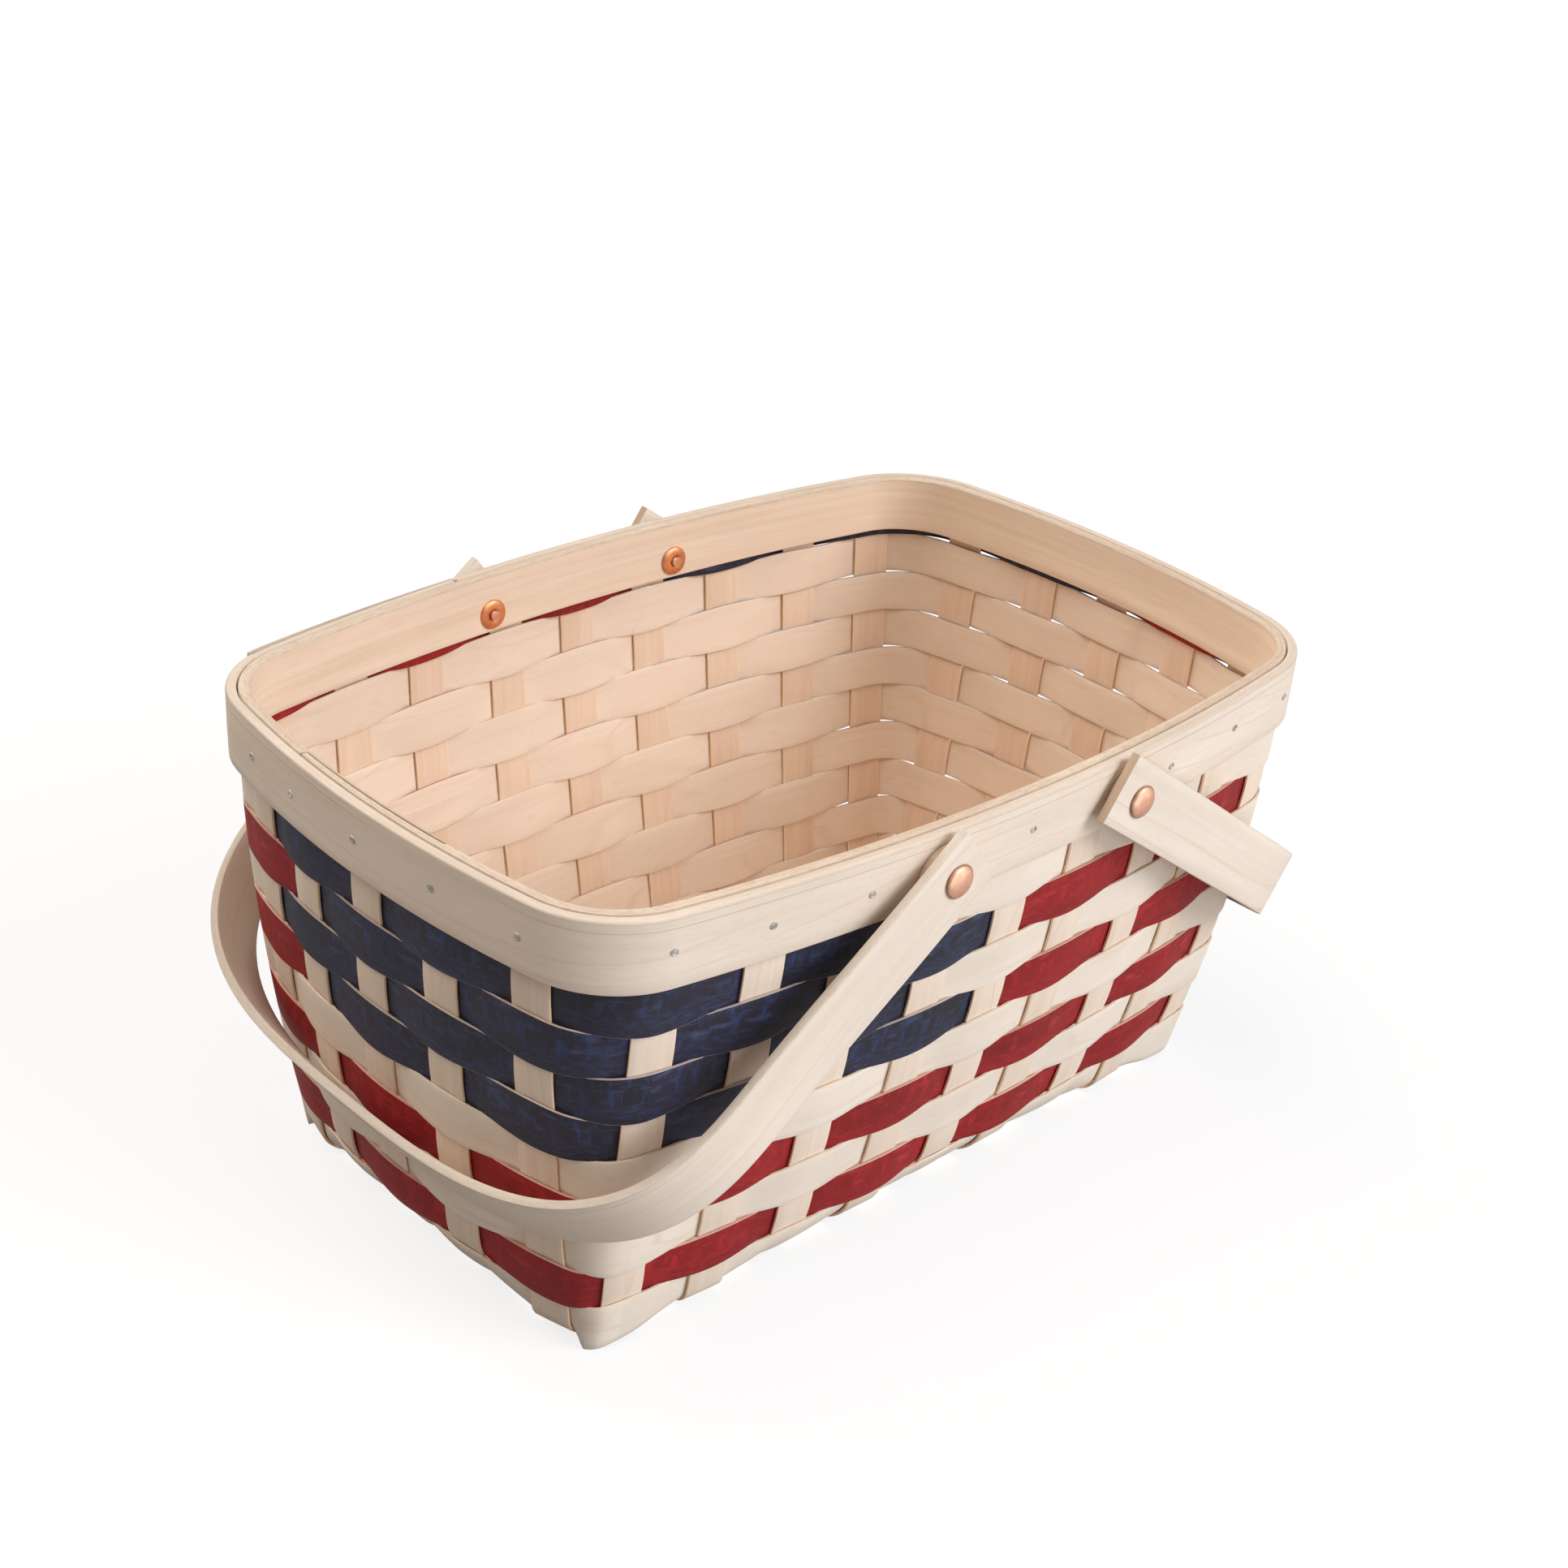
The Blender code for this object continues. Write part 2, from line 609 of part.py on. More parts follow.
def wall_y(x, z, offset):
    """Distance from the middle plane to the wall of a long side, near its middle, at x and z."""
    h = z - BASE_MID
    arcs = outline_arcs(h)
    _, b, _, _, _, long_radius, _ = arcs
    t = h / WALL_HEIGHT
    slope = (RIM_HALF_WIDTH - BASE_HALF_WIDTH + 4 * BELLY_WIDTH * (1 - 2 * t)) / WALL_HEIGHT
    lean = math.hypot(1, slope)
    return b - long_radius + math.sqrt(long_radius ** 2 - x ** 2) + offset * lean


def drill(pivot_x):
    """A long pin across the basket that cuts the rivet holes on one pivot line."""
    bpy.ops.mesh.primitive_cylinder_add(vertices=12, radius=HOLE_RADIUS, depth=0.36,
                                        location=(pivot_x, 0, PIVOT_Z), rotation=(math.pi / 2, 0, 0))
    obj = bpy.context.object
    obj.name = "rivet_drill"
    obj.hide_render = True
    obj.display_type = "WIRE"
    for collection in obj.users_collection:
        collection.objects.unlink(obj)
    CUTTERS.objects.link(obj)
    return obj


def cut(obj, cutter):
    """Cut the drill's holes out of a piece."""
    modifier = obj.modifiers.new("rivet_hole", "BOOLEAN")
    modifier.operation = "DIFFERENCE"
    modifier.object = cutter


def turned(name, profile, material, location, rotation):
    """A turned piece: a profile of radius and height swept once round its own axis."""
    mesh = bpy.data.meshes.new(name)
    bm = bmesh.new()
    points = [bm.verts.new((r, 0.0, z)) for r, z in profile]
    for here, there in zip(points, points[1:]):
        bm.edges.new((here, there))
    if profile[0][0] > 0:
        bm.edges.new((points[-1], points[0]))
    bm.to_mesh(mesh)
    bm.free()
    mesh.materials.append(material)
    obj = bpy.data.objects.new(name, mesh)
    PARTS.objects.link(obj)
    obj.location = location
    obj.rotation_euler = rotation
    screw = obj.modifiers.new("turn", "SCREW")
    screw.steps = ROUND_STEPS
    screw.render_steps = ROUND_STEPS
    screw.use_merge_vertices = True
    screw.merge_threshold = 0.00002
    graph = bpy.context.evaluated_depsgraph_get()
    turned_mesh = bpy.data.meshes.new_from_object(obj.evaluated_get(graph))
    smooth(turned_mesh)
    obj.modifiers.remove(screw)
    obj.data = turned_mesh
    return obj


def build_rivet(name, x, side):
    """A copper rivet: domed head outside the handle, shank through the rim, end peened inside."""
    handle_face = PIVOT_Y + HANDLE_THICKNESS / 2 + GAP
    inner_face = wall_y(x, PIVOT_Z, INNER_FACE)
    length = handle_face - inner_face + GAP + BURR_THICKNESS + SHANK_PROUD
    dome = [(HEAD_RADIUS * math.cos(a), HEAD_RIM + HEAD_DOME * math.sin(a))
            for a in np.linspace(math.pi / 2, 0, 4)]
    dome[0] = (0.0, HEAD_RIM + HEAD_DOME)
    profile = dome + [
        (HEAD_RADIUS, 0.0), (SHANK_RADIUS, 0.0), (SHANK_RADIUS, -length + 0.0005),
        (SHANK_RADIUS - 0.0005, -length), (0.0, -length),
    ]
    return turned(name, profile, MATERIALS["copper"], (x, side * handle_face, PIVOT_Z),
                  (-side * math.pi / 2, 0, 0))


def build_burr(name, x, side):
    """The washer that the rivet's end is peened over, lying flat on the inner band."""
    inner_face = wall_y(x, PIVOT_Z, INNER_FACE) - GAP
    lean = math.atan((wall_y(x, PIVOT_Z + 0.001, 0) - wall_y(x, PIVOT_Z - 0.001, 0)) / 0.002)
    swing = math.atan((wall_y(x + 0.001, PIVOT_Z, 0) - wall_y(x - 0.001, PIVOT_Z, 0)) / 0.002)
    profile = [
        (BURR_RADIUS, 0.0), (BURR_RADIUS - 0.0003, -BURR_THICKNESS),
        (HOLE_RADIUS, -BURR_THICKNESS), (HOLE_RADIUS, 0.0),
    ]
    return turned(name, profile, MATERIALS["copper"], (x, side * inner_face, PIVOT_Z),
                  (-side * (math.pi / 2 + lean), 0, side * swing))


def build_spacer(name, x, side):
    """A wooden disc between the rim and the handle, faced to sit on the leaning rim."""
    mesh = bpy.data.meshes.new(name)
    bm = bmesh.new()
    bmesh.ops.create_cone(bm, cap_ends=True, segments=ROUND_STEPS, radius1=SPACER_RADIUS,
                          radius2=SPACER_RADIUS, depth=0.001)
    outer_face = PIVOT_Y - HANDLE_THICKNESS / 2 - GAP
    for vert in bm.verts:
        px, py, outer = vert.co.x, vert.co.y, vert.co.z > 0
        rim = wall_y(x + px, PIVOT_Z + py, OUTER_FACE) + GAP
        vert.co = (px, side * (outer_face if outer else rim), py)
    bmesh.ops.recalc_face_normals(bm, faces=bm.faces)
    bm.to_mesh(mesh)
    bm.free()
    smooth(mesh)
    mesh.materials.append(MATERIALS["rim"])
    obj = bpy.data.objects.new(name, mesh)
    PARTS.objects.link(obj)
    obj.location = (x, 0.0, PIVOT_Z)
    return obj


def build_handles_and_rivets():
    """Both handles with the rivets, burrs and spacers that carry them."""
    drills = []
    for word, shape in (("left", LEFT_HANDLE), ("right", RIGHT_HANDLE)):
        x = shape["pivot_x"]
        cutter = drill(x)
        drills.append(cutter)
        cut(build_handle(f"{word}_handle", shape), cutter)
        for place, side in (("front", -1), ("back", 1)):
            build_rivet(f"{word}_{place}_rivet", x, side)
            build_burr(f"{word}_{place}_burr", x, side)
            cut(build_spacer(f"{word}_{place}_spacer", x, side), cutter)
    return drills


def build_rim():
    """The outer and inner bands that clamp the top of the weaving."""
    outer = build_band("outer_rim_band", OUTER_BAND_HEIGHT, BAND_INSIDE, OUTER_FACE,
                       (OUTER_LAP_START, OUTER_LAP_END), OUTER_LAP_PROUD)
    inner = build_band("inner_rim_band", INNER_BAND_HEIGHT, -BAND_INSIDE, INNER_FACE,
                       (INNER_LAP_START, INNER_LAP_END), 0.0)
    return outer, inner


def build_basket():
    """The whole basket: weaving, rim, handles and rivets."""
    weavers = [build_weaver(row) for row in range(ROW_COUNT)]
    splints = build_splints()
    bands = build_rim()
    for cutter in build_handles_and_rivets():
        for obj in (weavers[0], *bands):
            cut(obj, cutter)
        if cutter.location.x < 0:
            cut(splints[3], cutter)


for old in list(bpy.data.objects):
    bpy.data.objects.remove(old, do_unlink=True)
PARTS = new_collection("market_basket")
CUTTERS = new_collection("cutters")
MATERIALS = {
    "wood": new_material("splint_wood", WOOD),
    "rim": new_material("rim_wood", RIM_WOOD),
    "red": new_material("red_stain", RED),
    "navy": new_material("navy_stain", NAVY),
    "copper": new_material("copper", COPPER, roughness=0.35, metallic=1.0),
}
build_basket()
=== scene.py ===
"""Looks of the splint market basket: its weaving, rim, swing handles, rivets and nails.

Lengths are metres.  +X runs along the long side and the front long side faces -Y.
"""
import math

import bpy
import numpy as np
from mathutils import Matrix, Vector


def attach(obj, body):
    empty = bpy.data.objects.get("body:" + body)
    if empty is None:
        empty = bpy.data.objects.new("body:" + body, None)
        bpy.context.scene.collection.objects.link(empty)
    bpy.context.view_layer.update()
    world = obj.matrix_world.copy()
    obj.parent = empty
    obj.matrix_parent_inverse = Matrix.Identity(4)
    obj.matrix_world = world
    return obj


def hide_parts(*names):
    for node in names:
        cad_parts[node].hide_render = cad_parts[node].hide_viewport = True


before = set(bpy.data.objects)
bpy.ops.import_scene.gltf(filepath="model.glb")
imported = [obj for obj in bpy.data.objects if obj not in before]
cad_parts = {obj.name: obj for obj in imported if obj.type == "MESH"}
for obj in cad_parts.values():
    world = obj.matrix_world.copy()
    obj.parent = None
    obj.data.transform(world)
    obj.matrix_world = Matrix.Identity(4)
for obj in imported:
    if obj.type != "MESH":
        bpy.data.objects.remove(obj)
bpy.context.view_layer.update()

# The wall, described by the mid-surface of its upright splints.  Each size is given at the base,
# at the rim and, where it bulges, as a belly at mid height.  Bows are half angles in radians.
HEIGHT = 0.222
HALF_LENGTH = (0.199, 0.220, 0.0046)
HALF_WIDTH = (0.110, 0.147, 0.0057)
CORNER_RADIUS = (0.010, 0.045)
LONG_BOW = (0.094, 0.1775)
SHORT_BOW = (0.300, 0.1735)
LONG_PITCH = (0.0423, 0.0446, 0.0012)
SHORT_PITCH = (0.0416, 0.0446, 0.0012)

# Splints.  An ease is how far an edge is cut back.
UPRIGHT_WIDTH = 0.0190
UPRIGHT_THICKNESS = 0.0013
WEAVER_THICKNESS = 0.0011
UPRIGHT_EASE = 0.00045
WEAVER_EASE = 0.0002
GAP = 0.0003
WEAVE_GAP = 0.0004
BASE_FLAT_MARGIN = 0.0008
BEND_CLEAR = 0.0010
UPRIGHT_TOP_BELOW_RIM = 0.0030
LONG_SIDE_COUNT = 9
SHORT_SIDE_COUNT = 5

# How far each upright of a side stands off its even place at the rim, and the share at the base.
BASE_SET_SHARE = 0.4
FRONT_SET = (0.0, 0.0014, -0.0009, 0.0028, -0.0016, -0.0049, 0.0, 0.0016, 0.0)
RIGHT_SET = (0.0, -0.0035, -0.0024, -0.0025, 0.0006)
BACK_SET = (-0.0022, -0.0025, 0.0007, 0.0007, -0.0008, -0.0036, -0.0006, -0.0023, 0.0)
LEFT_SET = (0.0082, -0.0009, 0.0, -0.0004, 0.0036)

# Rows of weaving, 0 inside the rim and 9 at the base.
ROW_COUNT = 10
ROWS_START_BELOW_RIM = 0.0314
BOTTOM_ROW_EDGE = 0.0033
WEAVE_DEPTH = 0.00162
WEAVE_SPREAD = 0.0013
SLACK = 1.15
SLACK_FROM_TO = (9.2, 16.4)
RIM_ROW_NAVY = (12.0, 18.0)
CANTON_ROWS = (1, 2, 3, 4)
CANTON_FROM = (24, 25)
CANTON_TO = (4, 5)
UPRIGHT_WAVE = 0.0004
TIP_DROP = 0.0045
TIP_ALONG_END = 0.26
TIP_ALONG_SIDE = 1.0

# Radii of the bends at the uprights' feet, from the corners to the middle of a side.
LONG_SIDE_BENDS = (0.0055, 0.0095, 0.0250, 0.0230, 0.0310)
SHORT_SIDE_BENDS = (0.0120, 0.0320, 0.0340)
CORNER_BEND = 0.0050

# Rim bands, and the ring coordinates between which each laps over its own end.
OUTER_BAND_HEIGHT = 0.0314
INNER_BAND_HEIGHT = 0.0275
OUTER_BAND_THICKNESS = 0.0024
INNER_BAND_THICKNESS = 0.0027
BAND_TIP = 0.0008
BAND_LIP = 0.00215
BAND_LIP_DEPTH = 0.0024
BAND_ROUNDING = 0.0012
BAND_ROUNDED_SHARE = 0.42
OUTER_LAP = (20.6, 23.1)
OUTER_LAP_PROUD = 0.0018
INNER_LAP = (25.0, 27.0)

# Handles and rivets.
PIVOT_Z = 0.2035
PIVOT_Y = 0.1558
HANDLE_WIDTH = 0.0317
HANDLE_THICKNESS = 0.0040
HANDLE_EASE = 0.0006
LEFT_HANDLE = {
    "pivot_x": -0.0528, "turn": math.pi, "hang": math.radians(37.0), "end": 0.0145,
    "arm": 0.1130, "reach": 0.2131, "half_span": 0.1534, "power": 2.95,
}
RIGHT_HANDLE = {
    "pivot_x": 0.0562, "turn": 0.0, "hang": math.radians(35.2), "end": 0.0175,
    "arm": 0.1209, "reach": 0.2090, "half_span": 0.1490, "power": 2.70,
}
HEAD_RADIUS = 0.0073
HEAD_RIM = 0.0007
HEAD_DOME = 0.0018
SHANK_RADIUS = 0.0022
BURR_RADIUS = 0.0070
BURR_THICKNESS = 0.0014
SHANK_PROUD = 0.0016
SPACER_RADIUS = 0.0140
SPACER_EASE = 0.0005

# Nails, each a profile of (radius, height), clear of the rivets by a share of a handle's width.
NAIL_DEPTH = 0.0157
NAIL_OVAL = 0.86
NAIL_SWAY = 0.05
NAIL_UNEVEN = 0.0009
NAIL_CLEAR = 0.75
NAIL_PROFILE = ((0.0019, -0.0006), (0.0019, 0.00006), (0.0017, 0.00028), (0.0012, 0.00034),
                (0.00095, 0.00010), (0.00055, 0.00008), (0.00036, 0.00018), (0.00002, 0.00020))

# Worked out from the sizes above, but for HALF: half an upright's width in ring coordinates.
UPRIGHT_COUNT = 2 * (LONG_SIDE_COUNT + SHORT_SIDE_COUNT)
SETS = np.array(FRONT_SET + RIGHT_SET + BACK_SET + LEFT_SET)
SIDE_COUNTS = (LONG_SIDE_COUNT, SHORT_SIDE_COUNT, LONG_SIDE_COUNT, SHORT_SIDE_COUNT)
SIDE_OF = np.repeat(np.arange(4), SIDE_COUNTS)
PLACE_OF = np.concatenate([np.arange(n) - (n - 1) / 2 for n in SIDE_COUNTS])
LAST_ON_SIDE = tuple(np.cumsum(SIDE_COUNTS))
HALF = 0.22
BASE_MID = UPRIGHT_THICKNESS + GAP / 2
WALL_HEIGHT = HEIGHT - BASE_MID
ROW_PITCH = (HEIGHT - ROWS_START_BELOW_RIM - BOTTOM_ROW_EDGE - BASE_MID) / (ROW_COUNT - 1)
WEAVE_OFFSET = UPRIGHT_THICKNESS / 2 + WEAVE_GAP + WEAVER_THICKNESS / 2
CROSSING_HALF = UPRIGHT_WIDTH / 2 + BASE_FLAT_MARGIN
BAND_INSIDE = WEAVE_OFFSET + WEAVER_THICKNESS / 2 + GAP
OUTER_FACE = BAND_INSIDE + OUTER_BAND_THICKNESS
INNER_FACE = -BAND_INSIDE - INNER_BAND_THICKNESS

# Steps of the grids, and how far the wood's pattern is shifted from one piece to the next.
ROW_RING_STEP = 1 / 32
BAND_RING_STEP = 1 / 16
LAP_END_STEP = 0.03
LAP_STEPS = 60
WALL_RINGS = 72
FOOT_RINGS = 14
HANDLE_RINGS = 240
FACE_STEPS = 8
UPRIGHT_FACE_STEPS = 4
EDGE_STRIPS = 5
TURNED_STEPS = 56
SPACER_STEPS = 64
NAIL_STEPS = 20
ROW_SHIFT = 3.7
SPLINT_SHIFT = 1.9

# Places of the splint finishes in SPLINT_FINISHES.  A stain is one of the first three.
(PLAIN, RED_STAIN, NAVY_STAIN, PLAIN_EDGE, RED_STAIN_EDGE, PLAIN_INSIDE_PAINTED_WARM_SHADE, UPRIGHT_OUTSIDE,
 UPRIGHT_INNER_PAINTED_WARM_SHADE, UPRIGHT_SIDE_PAINTED_BOUNCE, NAVY_STAIN_EDGE) = range(10)
EDGE_OF_STAIN = np.array([PLAIN_EDGE, RED_STAIN_EDGE, NAVY_STAIN_EDGE])

# Places of the finishes of a copper piece.
DULL, DARK, BRIGHT = range(3)


# ---- The wall ----

def blend(z, base, rim, belly=0.0):
    """Straight taper from the base value to the rim value, plus a belly at mid height."""
    t = z / WALL_HEIGHT
    return base + (rim - base) * t + belly * 4 * t * (1 - t)


def blend_slope(z, base, rim, belly):
    """How fast a blended size grows with height."""
    return (rim - base + 4 * belly * (1 - 2 * z / WALL_HEIGHT)) / WALL_HEIGHT


def outline_arcs(z):
    """The outline at a height: half sizes, corner radius, bow angles and radii, arc lengths.

    A rounded rectangle with bowed sides: a short-side arc, a corner arc and a long-side arc
    meet without a kink, which gives two linear equations for the two bow radii.  The lengths are
    those of one quarter's three arcs.
    """
    sizes = (HALF_LENGTH, HALF_WIDTH, CORNER_RADIUS, LONG_BOW, SHORT_BOW)
    a, b, r, long_bow, short_bow = (blend(z, *size) for size in sizes)
    m11, m12 = np.sin(long_bow), 1 - np.cos(short_bow)
    m21, m22 = 1 - np.cos(long_bow), np.sin(short_bow)
    r1 = a + r * (np.sin(long_bow) - np.cos(short_bow))
    r2 = b + r * (np.sin(short_bow) - np.cos(long_bow))
    det = m11 * m22 - m12 * m21
    long_radius = (r1 * m22 - m12 * r2) / det
    short_radius = (m11 * r2 - m21 * r1) / det
    corner = r * (math.pi / 2 - long_bow - short_bow)
    return (a, b, r, long_bow, short_bow, long_radius, short_radius,
            short_radius * short_bow, corner, long_radius * long_bow)


def outline(z, ell, offset):
    """Point and outward normal at the distance ell round the outline, moved out by offset.

    A point lies at the angle t on one of a quarter's three arcs, and the quarter is mirrored.
    """
    a, b, r, _, short_bow, long_radius, short_radius, short, corner, long = outline_arcs(z)
    quarter = short + corner + long
    ell = np.mod(ell, 4 * quarter)
    quad = np.minimum(np.floor(ell / quarter), 3)
    m = ell - quad * quarter
    m = np.where(quad % 2 == 1, quarter - m, m)
    arc = (m >= short) * 1 + (m > short + corner)
    t = np.choose(arc, (m / short_radius, short_bow + (m - short) / r,
                        math.pi / 2 - (quarter - m) / long_radius))
    corner_x = a - short_radius + (short_radius - r) * np.cos(short_bow)
    cx = np.choose(arc, (a - short_radius, corner_x, 0.0))
    cy = np.choose(arc, (0.0, (short_radius - r) * np.sin(short_bow), b - long_radius))
    radius = np.choose(arc, (short_radius, r, long_radius)) + offset
    sx = np.where((quad == 0) | (quad == 3), 1.0, -1.0)
    sy = np.where(quad < 2, 1.0, -1.0)
    nx, ny = sx * np.cos(t), sy * np.sin(t)
    return sx * cx + radius * nx, sy * cy + radius * ny, nx, ny


def arc_to(c, bow, radius, r):
    """Distance along a side from its middle to the place with the straight coordinate c."""
    reach = radius * np.sin(bow)
    side = radius * np.arcsin(np.clip(np.abs(c) / radius, 0, np.sin(bow)))
    corner_centre = (radius - r) * np.sin(bow)
    turn = np.arcsin(np.clip((np.abs(c) - corner_centre) / r, -1, 1))
    return np.sign(c) * np.where(np.abs(c) > reach, radius * bow + r * (turn - bow), side)


def station(k, z):
    """Distance round the outline to the middle of upright k, counted from 1."""
    turns, index = np.divmod(np.asarray(k, int) - 1, UPRIGHT_COUNT)
    _, _, r, long_bow, short_bow, long_radius, short_radius, *lengths = outline_arcs(z)
    side = SIDE_OF[index]
    on_long = side % 2 == 0
    pitch = np.where(on_long, blend(z, *LONG_PITCH), blend(z, *SHORT_PITCH))
    c = PLACE_OF[index] * pitch + SETS[index] * blend(z, BASE_SET_SHARE, 1.0)
    bow = np.where(on_long, long_bow, short_bow)
    radius = np.where(on_long, long_radius, short_radius)
    return (3 + side + 4 * turns) * sum(lengths) + arc_to(c, bow, radius, r)


def upright_and_gap(u):
    """The upright at or before a ring coordinate, and the share of the gap after it passed.

    The upright k spans k - HALF to k + HALF, and the gap to the next takes up the rest.
    """
    k = np.floor(u + HALF)
    return k, np.clip((u - k - HALF) / (1 - 2 * HALF), 0, 1)


def round_distance(u, z):
    """Distance round the outline for the ring coordinate u: even over an upright and a gap."""
    k, gap = upright_and_gap(u)
    across = np.clip((u - k) / HALF, -1, 1)
    here = station(k, z) + across * UPRIGHT_WIDTH / 2
    there = station(k + 1, z) - UPRIGHT_WIDTH / 2
    return np.where(gap > 0, here + (there - here) * gap, here)


def upright_bend(k):
    """Radius of the bend at the foot of upright k, counted from 1."""
    index = (k - 1) % UPRIGHT_COUNT
    side = SIDE_OF[index]
    from_corner = int((SIDE_COUNTS[side] - 1) / 2 - abs(PLACE_OF[index]))
    return (SHORT_SIDE_BENDS if side % 2 else LONG_SIDE_BENDS)[from_corner]


def bend_knots():
    """Ring coordinates, and the bend radii there, between which the radius changes evenly."""
    knots, values = [], []
    for k in range(UPRIGHT_COUNT + 2):
        knots += [k - HALF, k + HALF]
        values += [upright_bend(k)] * 2
        if (k - 1) % UPRIGHT_COUNT + 1 in LAST_ON_SIDE:
            knots.append(k + 0.5)
            values.append(CORNER_BEND)
    return knots, values


def wall(u, h, offset):
    """Point of the wall at ring coordinate u and unrolled height h, moved out along its normal.

    Above the bend h is the height.  Below it h goes on down round the bend: the surface turns
    through q, dropping by R(1 - sin q) and drawing in by R(1 - cos q).
    """
    u, h, offset = np.broadcast_arrays(np.asarray(u, float), h, offset)
    wrapped = np.mod(u - 0.5, UPRIGHT_COUNT) + 0.5
    radius = np.interp(wrapped, *bend_knots())
    q = np.clip((radius - h) / radius, 0, math.pi / 2)
    z = np.where(h > radius, h, radius * (1 - np.sin(q)))
    drawn_in = radius * (1 - np.cos(q))
    ell = round_distance(u, z)
    _, _, nx, ny = outline(z, ell, 0.0)
    slope = blend_slope(z, *HALF_LENGTH) * nx ** 2 + blend_slope(z, *HALF_WIDTH) * ny ** 2
    out = np.cos(q)
    down = np.sin(q) + slope * np.cos(q)
    size = np.hypot(out, down)
    x, y, _, _ = outline(z, ell, offset * out / size - drawn_in)
    return np.stack([x, y, z + BASE_MID - offset * down / size], -1)


def wall_y(x, z, offset):
    """Distance from the middle plane to the wall of a long side, near its middle, at x and z."""
    h = z - BASE_MID
    _, b, _, _, _, long_radius, *_ = outline_arcs(h)
    steep = np.hypot(1, blend_slope(h, *HALF_WIDTH))
    return b - long_radius + np.sqrt(long_radius ** 2 - x ** 2) + offset * steep


# ---- Meshes ----

def placed(name, data):
    """A new object in the scene."""
    obj = bpy.data.objects.new(name, data)
    bpy.context.scene.collection.objects.link(obj)
    return obj


def skin(name, rings, materials, slots, along, across, closed=False, cap=0):
    """A surface through rings of points.

    rings is stations x points x 3, each ring a closed loop.  slots gives each strip between
    two neighbouring points of the loop its material, as one list or one per station.  The UV map
    holds metres: along the piece, and round the loop.  An open piece is capped at both ends with
    the material cap.  A mesh whose signed volume is negative is turned, so that its faces point
    outwards.
    """
    count, points, _ = rings.shape
    spans = count if closed else count - 1
    i = np.repeat(np.arange(spans), points)
    j = np.tile(np.arange(points), spans)
    n, m = (i + 1) % count, (j + 1) % points
    quads = np.stack([i * points + j, i * points + m, n * points + m, n * points + j], -1)
    faces = quads.tolist()
    if not closed:
        faces += [list(range(points))[::-1], [(count - 1) * points + p for p in range(points)]]
    mesh = bpy.data.meshes.new(name)
    mesh.from_pydata(rings.reshape(-1, 3).tolist(), [], faces)
    length = np.append(along, 2 * along[-1] - along[-2])
    loop = np.append(across, 2 * across[-1] - across[-2])
    u = np.stack([length[i], length[i], length[i + 1], length[i + 1]], -1)
    v = np.stack([loop[j], loop[j + 1], loop[j + 1], loop[j]], -1)
    uv = np.stack([u, v], -1).reshape(-1, 2)
    index = np.broadcast_to(np.asarray(slots), (spans, points)).reshape(-1)
    if not closed:
        place = rings - rings.mean(1, keepdims=True)
        for end in (0, count - 1):
            p = place[end] if end else place[end][::-1]
            side = p[0] / np.linalg.norm(p[0])
            flat = np.stack([p @ side, np.linalg.norm(p - np.outer(p @ side, side), axis=1)], -1)
            uv = np.concatenate([uv, flat])
        index = np.append(index, [cap, cap])
    layer = mesh.uv_layers.new(name="UVMap")
    layer.data.foreach_set("uv", uv.reshape(-1))
    mesh.polygons.foreach_set("material_index", index.astype(np.int32))
    for material in materials:
        mesh.materials.append(material)
    mesh.shade_smooth()
    mesh.set_sharp_from_angle(angle=math.radians(40))
    mesh.update()
    mesh.calc_loop_triangles()
    corners = np.empty(len(mesh.loop_triangles) * 3, np.int32)
    mesh.loop_triangles.foreach_get("vertices", corners)
    a, b, c = rings.reshape(-1, 3)[corners.reshape(-1, 3)].transpose(1, 0, 2)
    if np.einsum("ij,ij->", a, np.cross(b, c)) < 0:
        mesh.flip_normals()
    return placed(name, mesh)


def stands_for(piece, node, body="basket"):
    """Says which solid a piece replaces and which body it rides."""
    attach(piece, body)
    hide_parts(node)


def eased_section(low, high, thickness, ease, steps):
    """Loop of (across, offset) pairs: a flat bar from low to high with eased edges.

    The loop runs up the inner face and down the outer face.  Each edge is cut back by ease
    along both faces, with a point half way round.
    """
    inner, outer = -thickness / 2, thickness / 2
    bend = ease * (1 - math.sqrt(0.5))
    face = np.linspace(low + ease, high - ease, steps)
    inner_face = [(x, inner) for x in face]
    outer_face = [(x, outer) for x in face[::-1]]
    high_edge = [(high - bend, inner + bend), (high, inner + ease),
                 (high, outer - ease), (high - bend, outer - bend)]
    low_edge = [(low + bend, outer - bend), (low, outer - ease),
                (low, inner + ease), (low + bend, inner + bend)]
    return np.array(inner_face + high_edge + outer_face + low_edge)


def section_slots(inner, edge, outer, steps):
    """Material of each strip round an eased section, whose faces have that many points."""
    edges = [edge] * EDGE_STRIPS
    return [inner] * (steps - 1) + edges + [outer] * (steps - 1) + edges


def distances(points):
    """Distance along a line of points at each of them."""
    steps = np.linalg.norm(np.diff(points, axis=0), axis=1)
    return np.concatenate([[0.0], np.cumsum(steps)])


def round_angles(steps):
    """Angles at even steps once round a circle."""
    return np.arange(steps) * 2 * math.pi / steps


# ---- Weaving ----

def lift(u):
    """1 over the middle of an upright and 0 midway between two, along a cosine."""
    return np.cos(math.pi * (u - np.floor(u + 0.5)))


def spread_over(u):
    """How far a row's edges reach over its neighbours: least round the slack right end."""
    start, end = SLACK_FROM_TO
    middle, reach = (start + end) / 2, (end - start) / 2
    slack = np.clip(reach - np.abs(u - middle), 0, 1)
    return WEAVE_SPREAD * lift(u) * (1 - SLACK * slack)


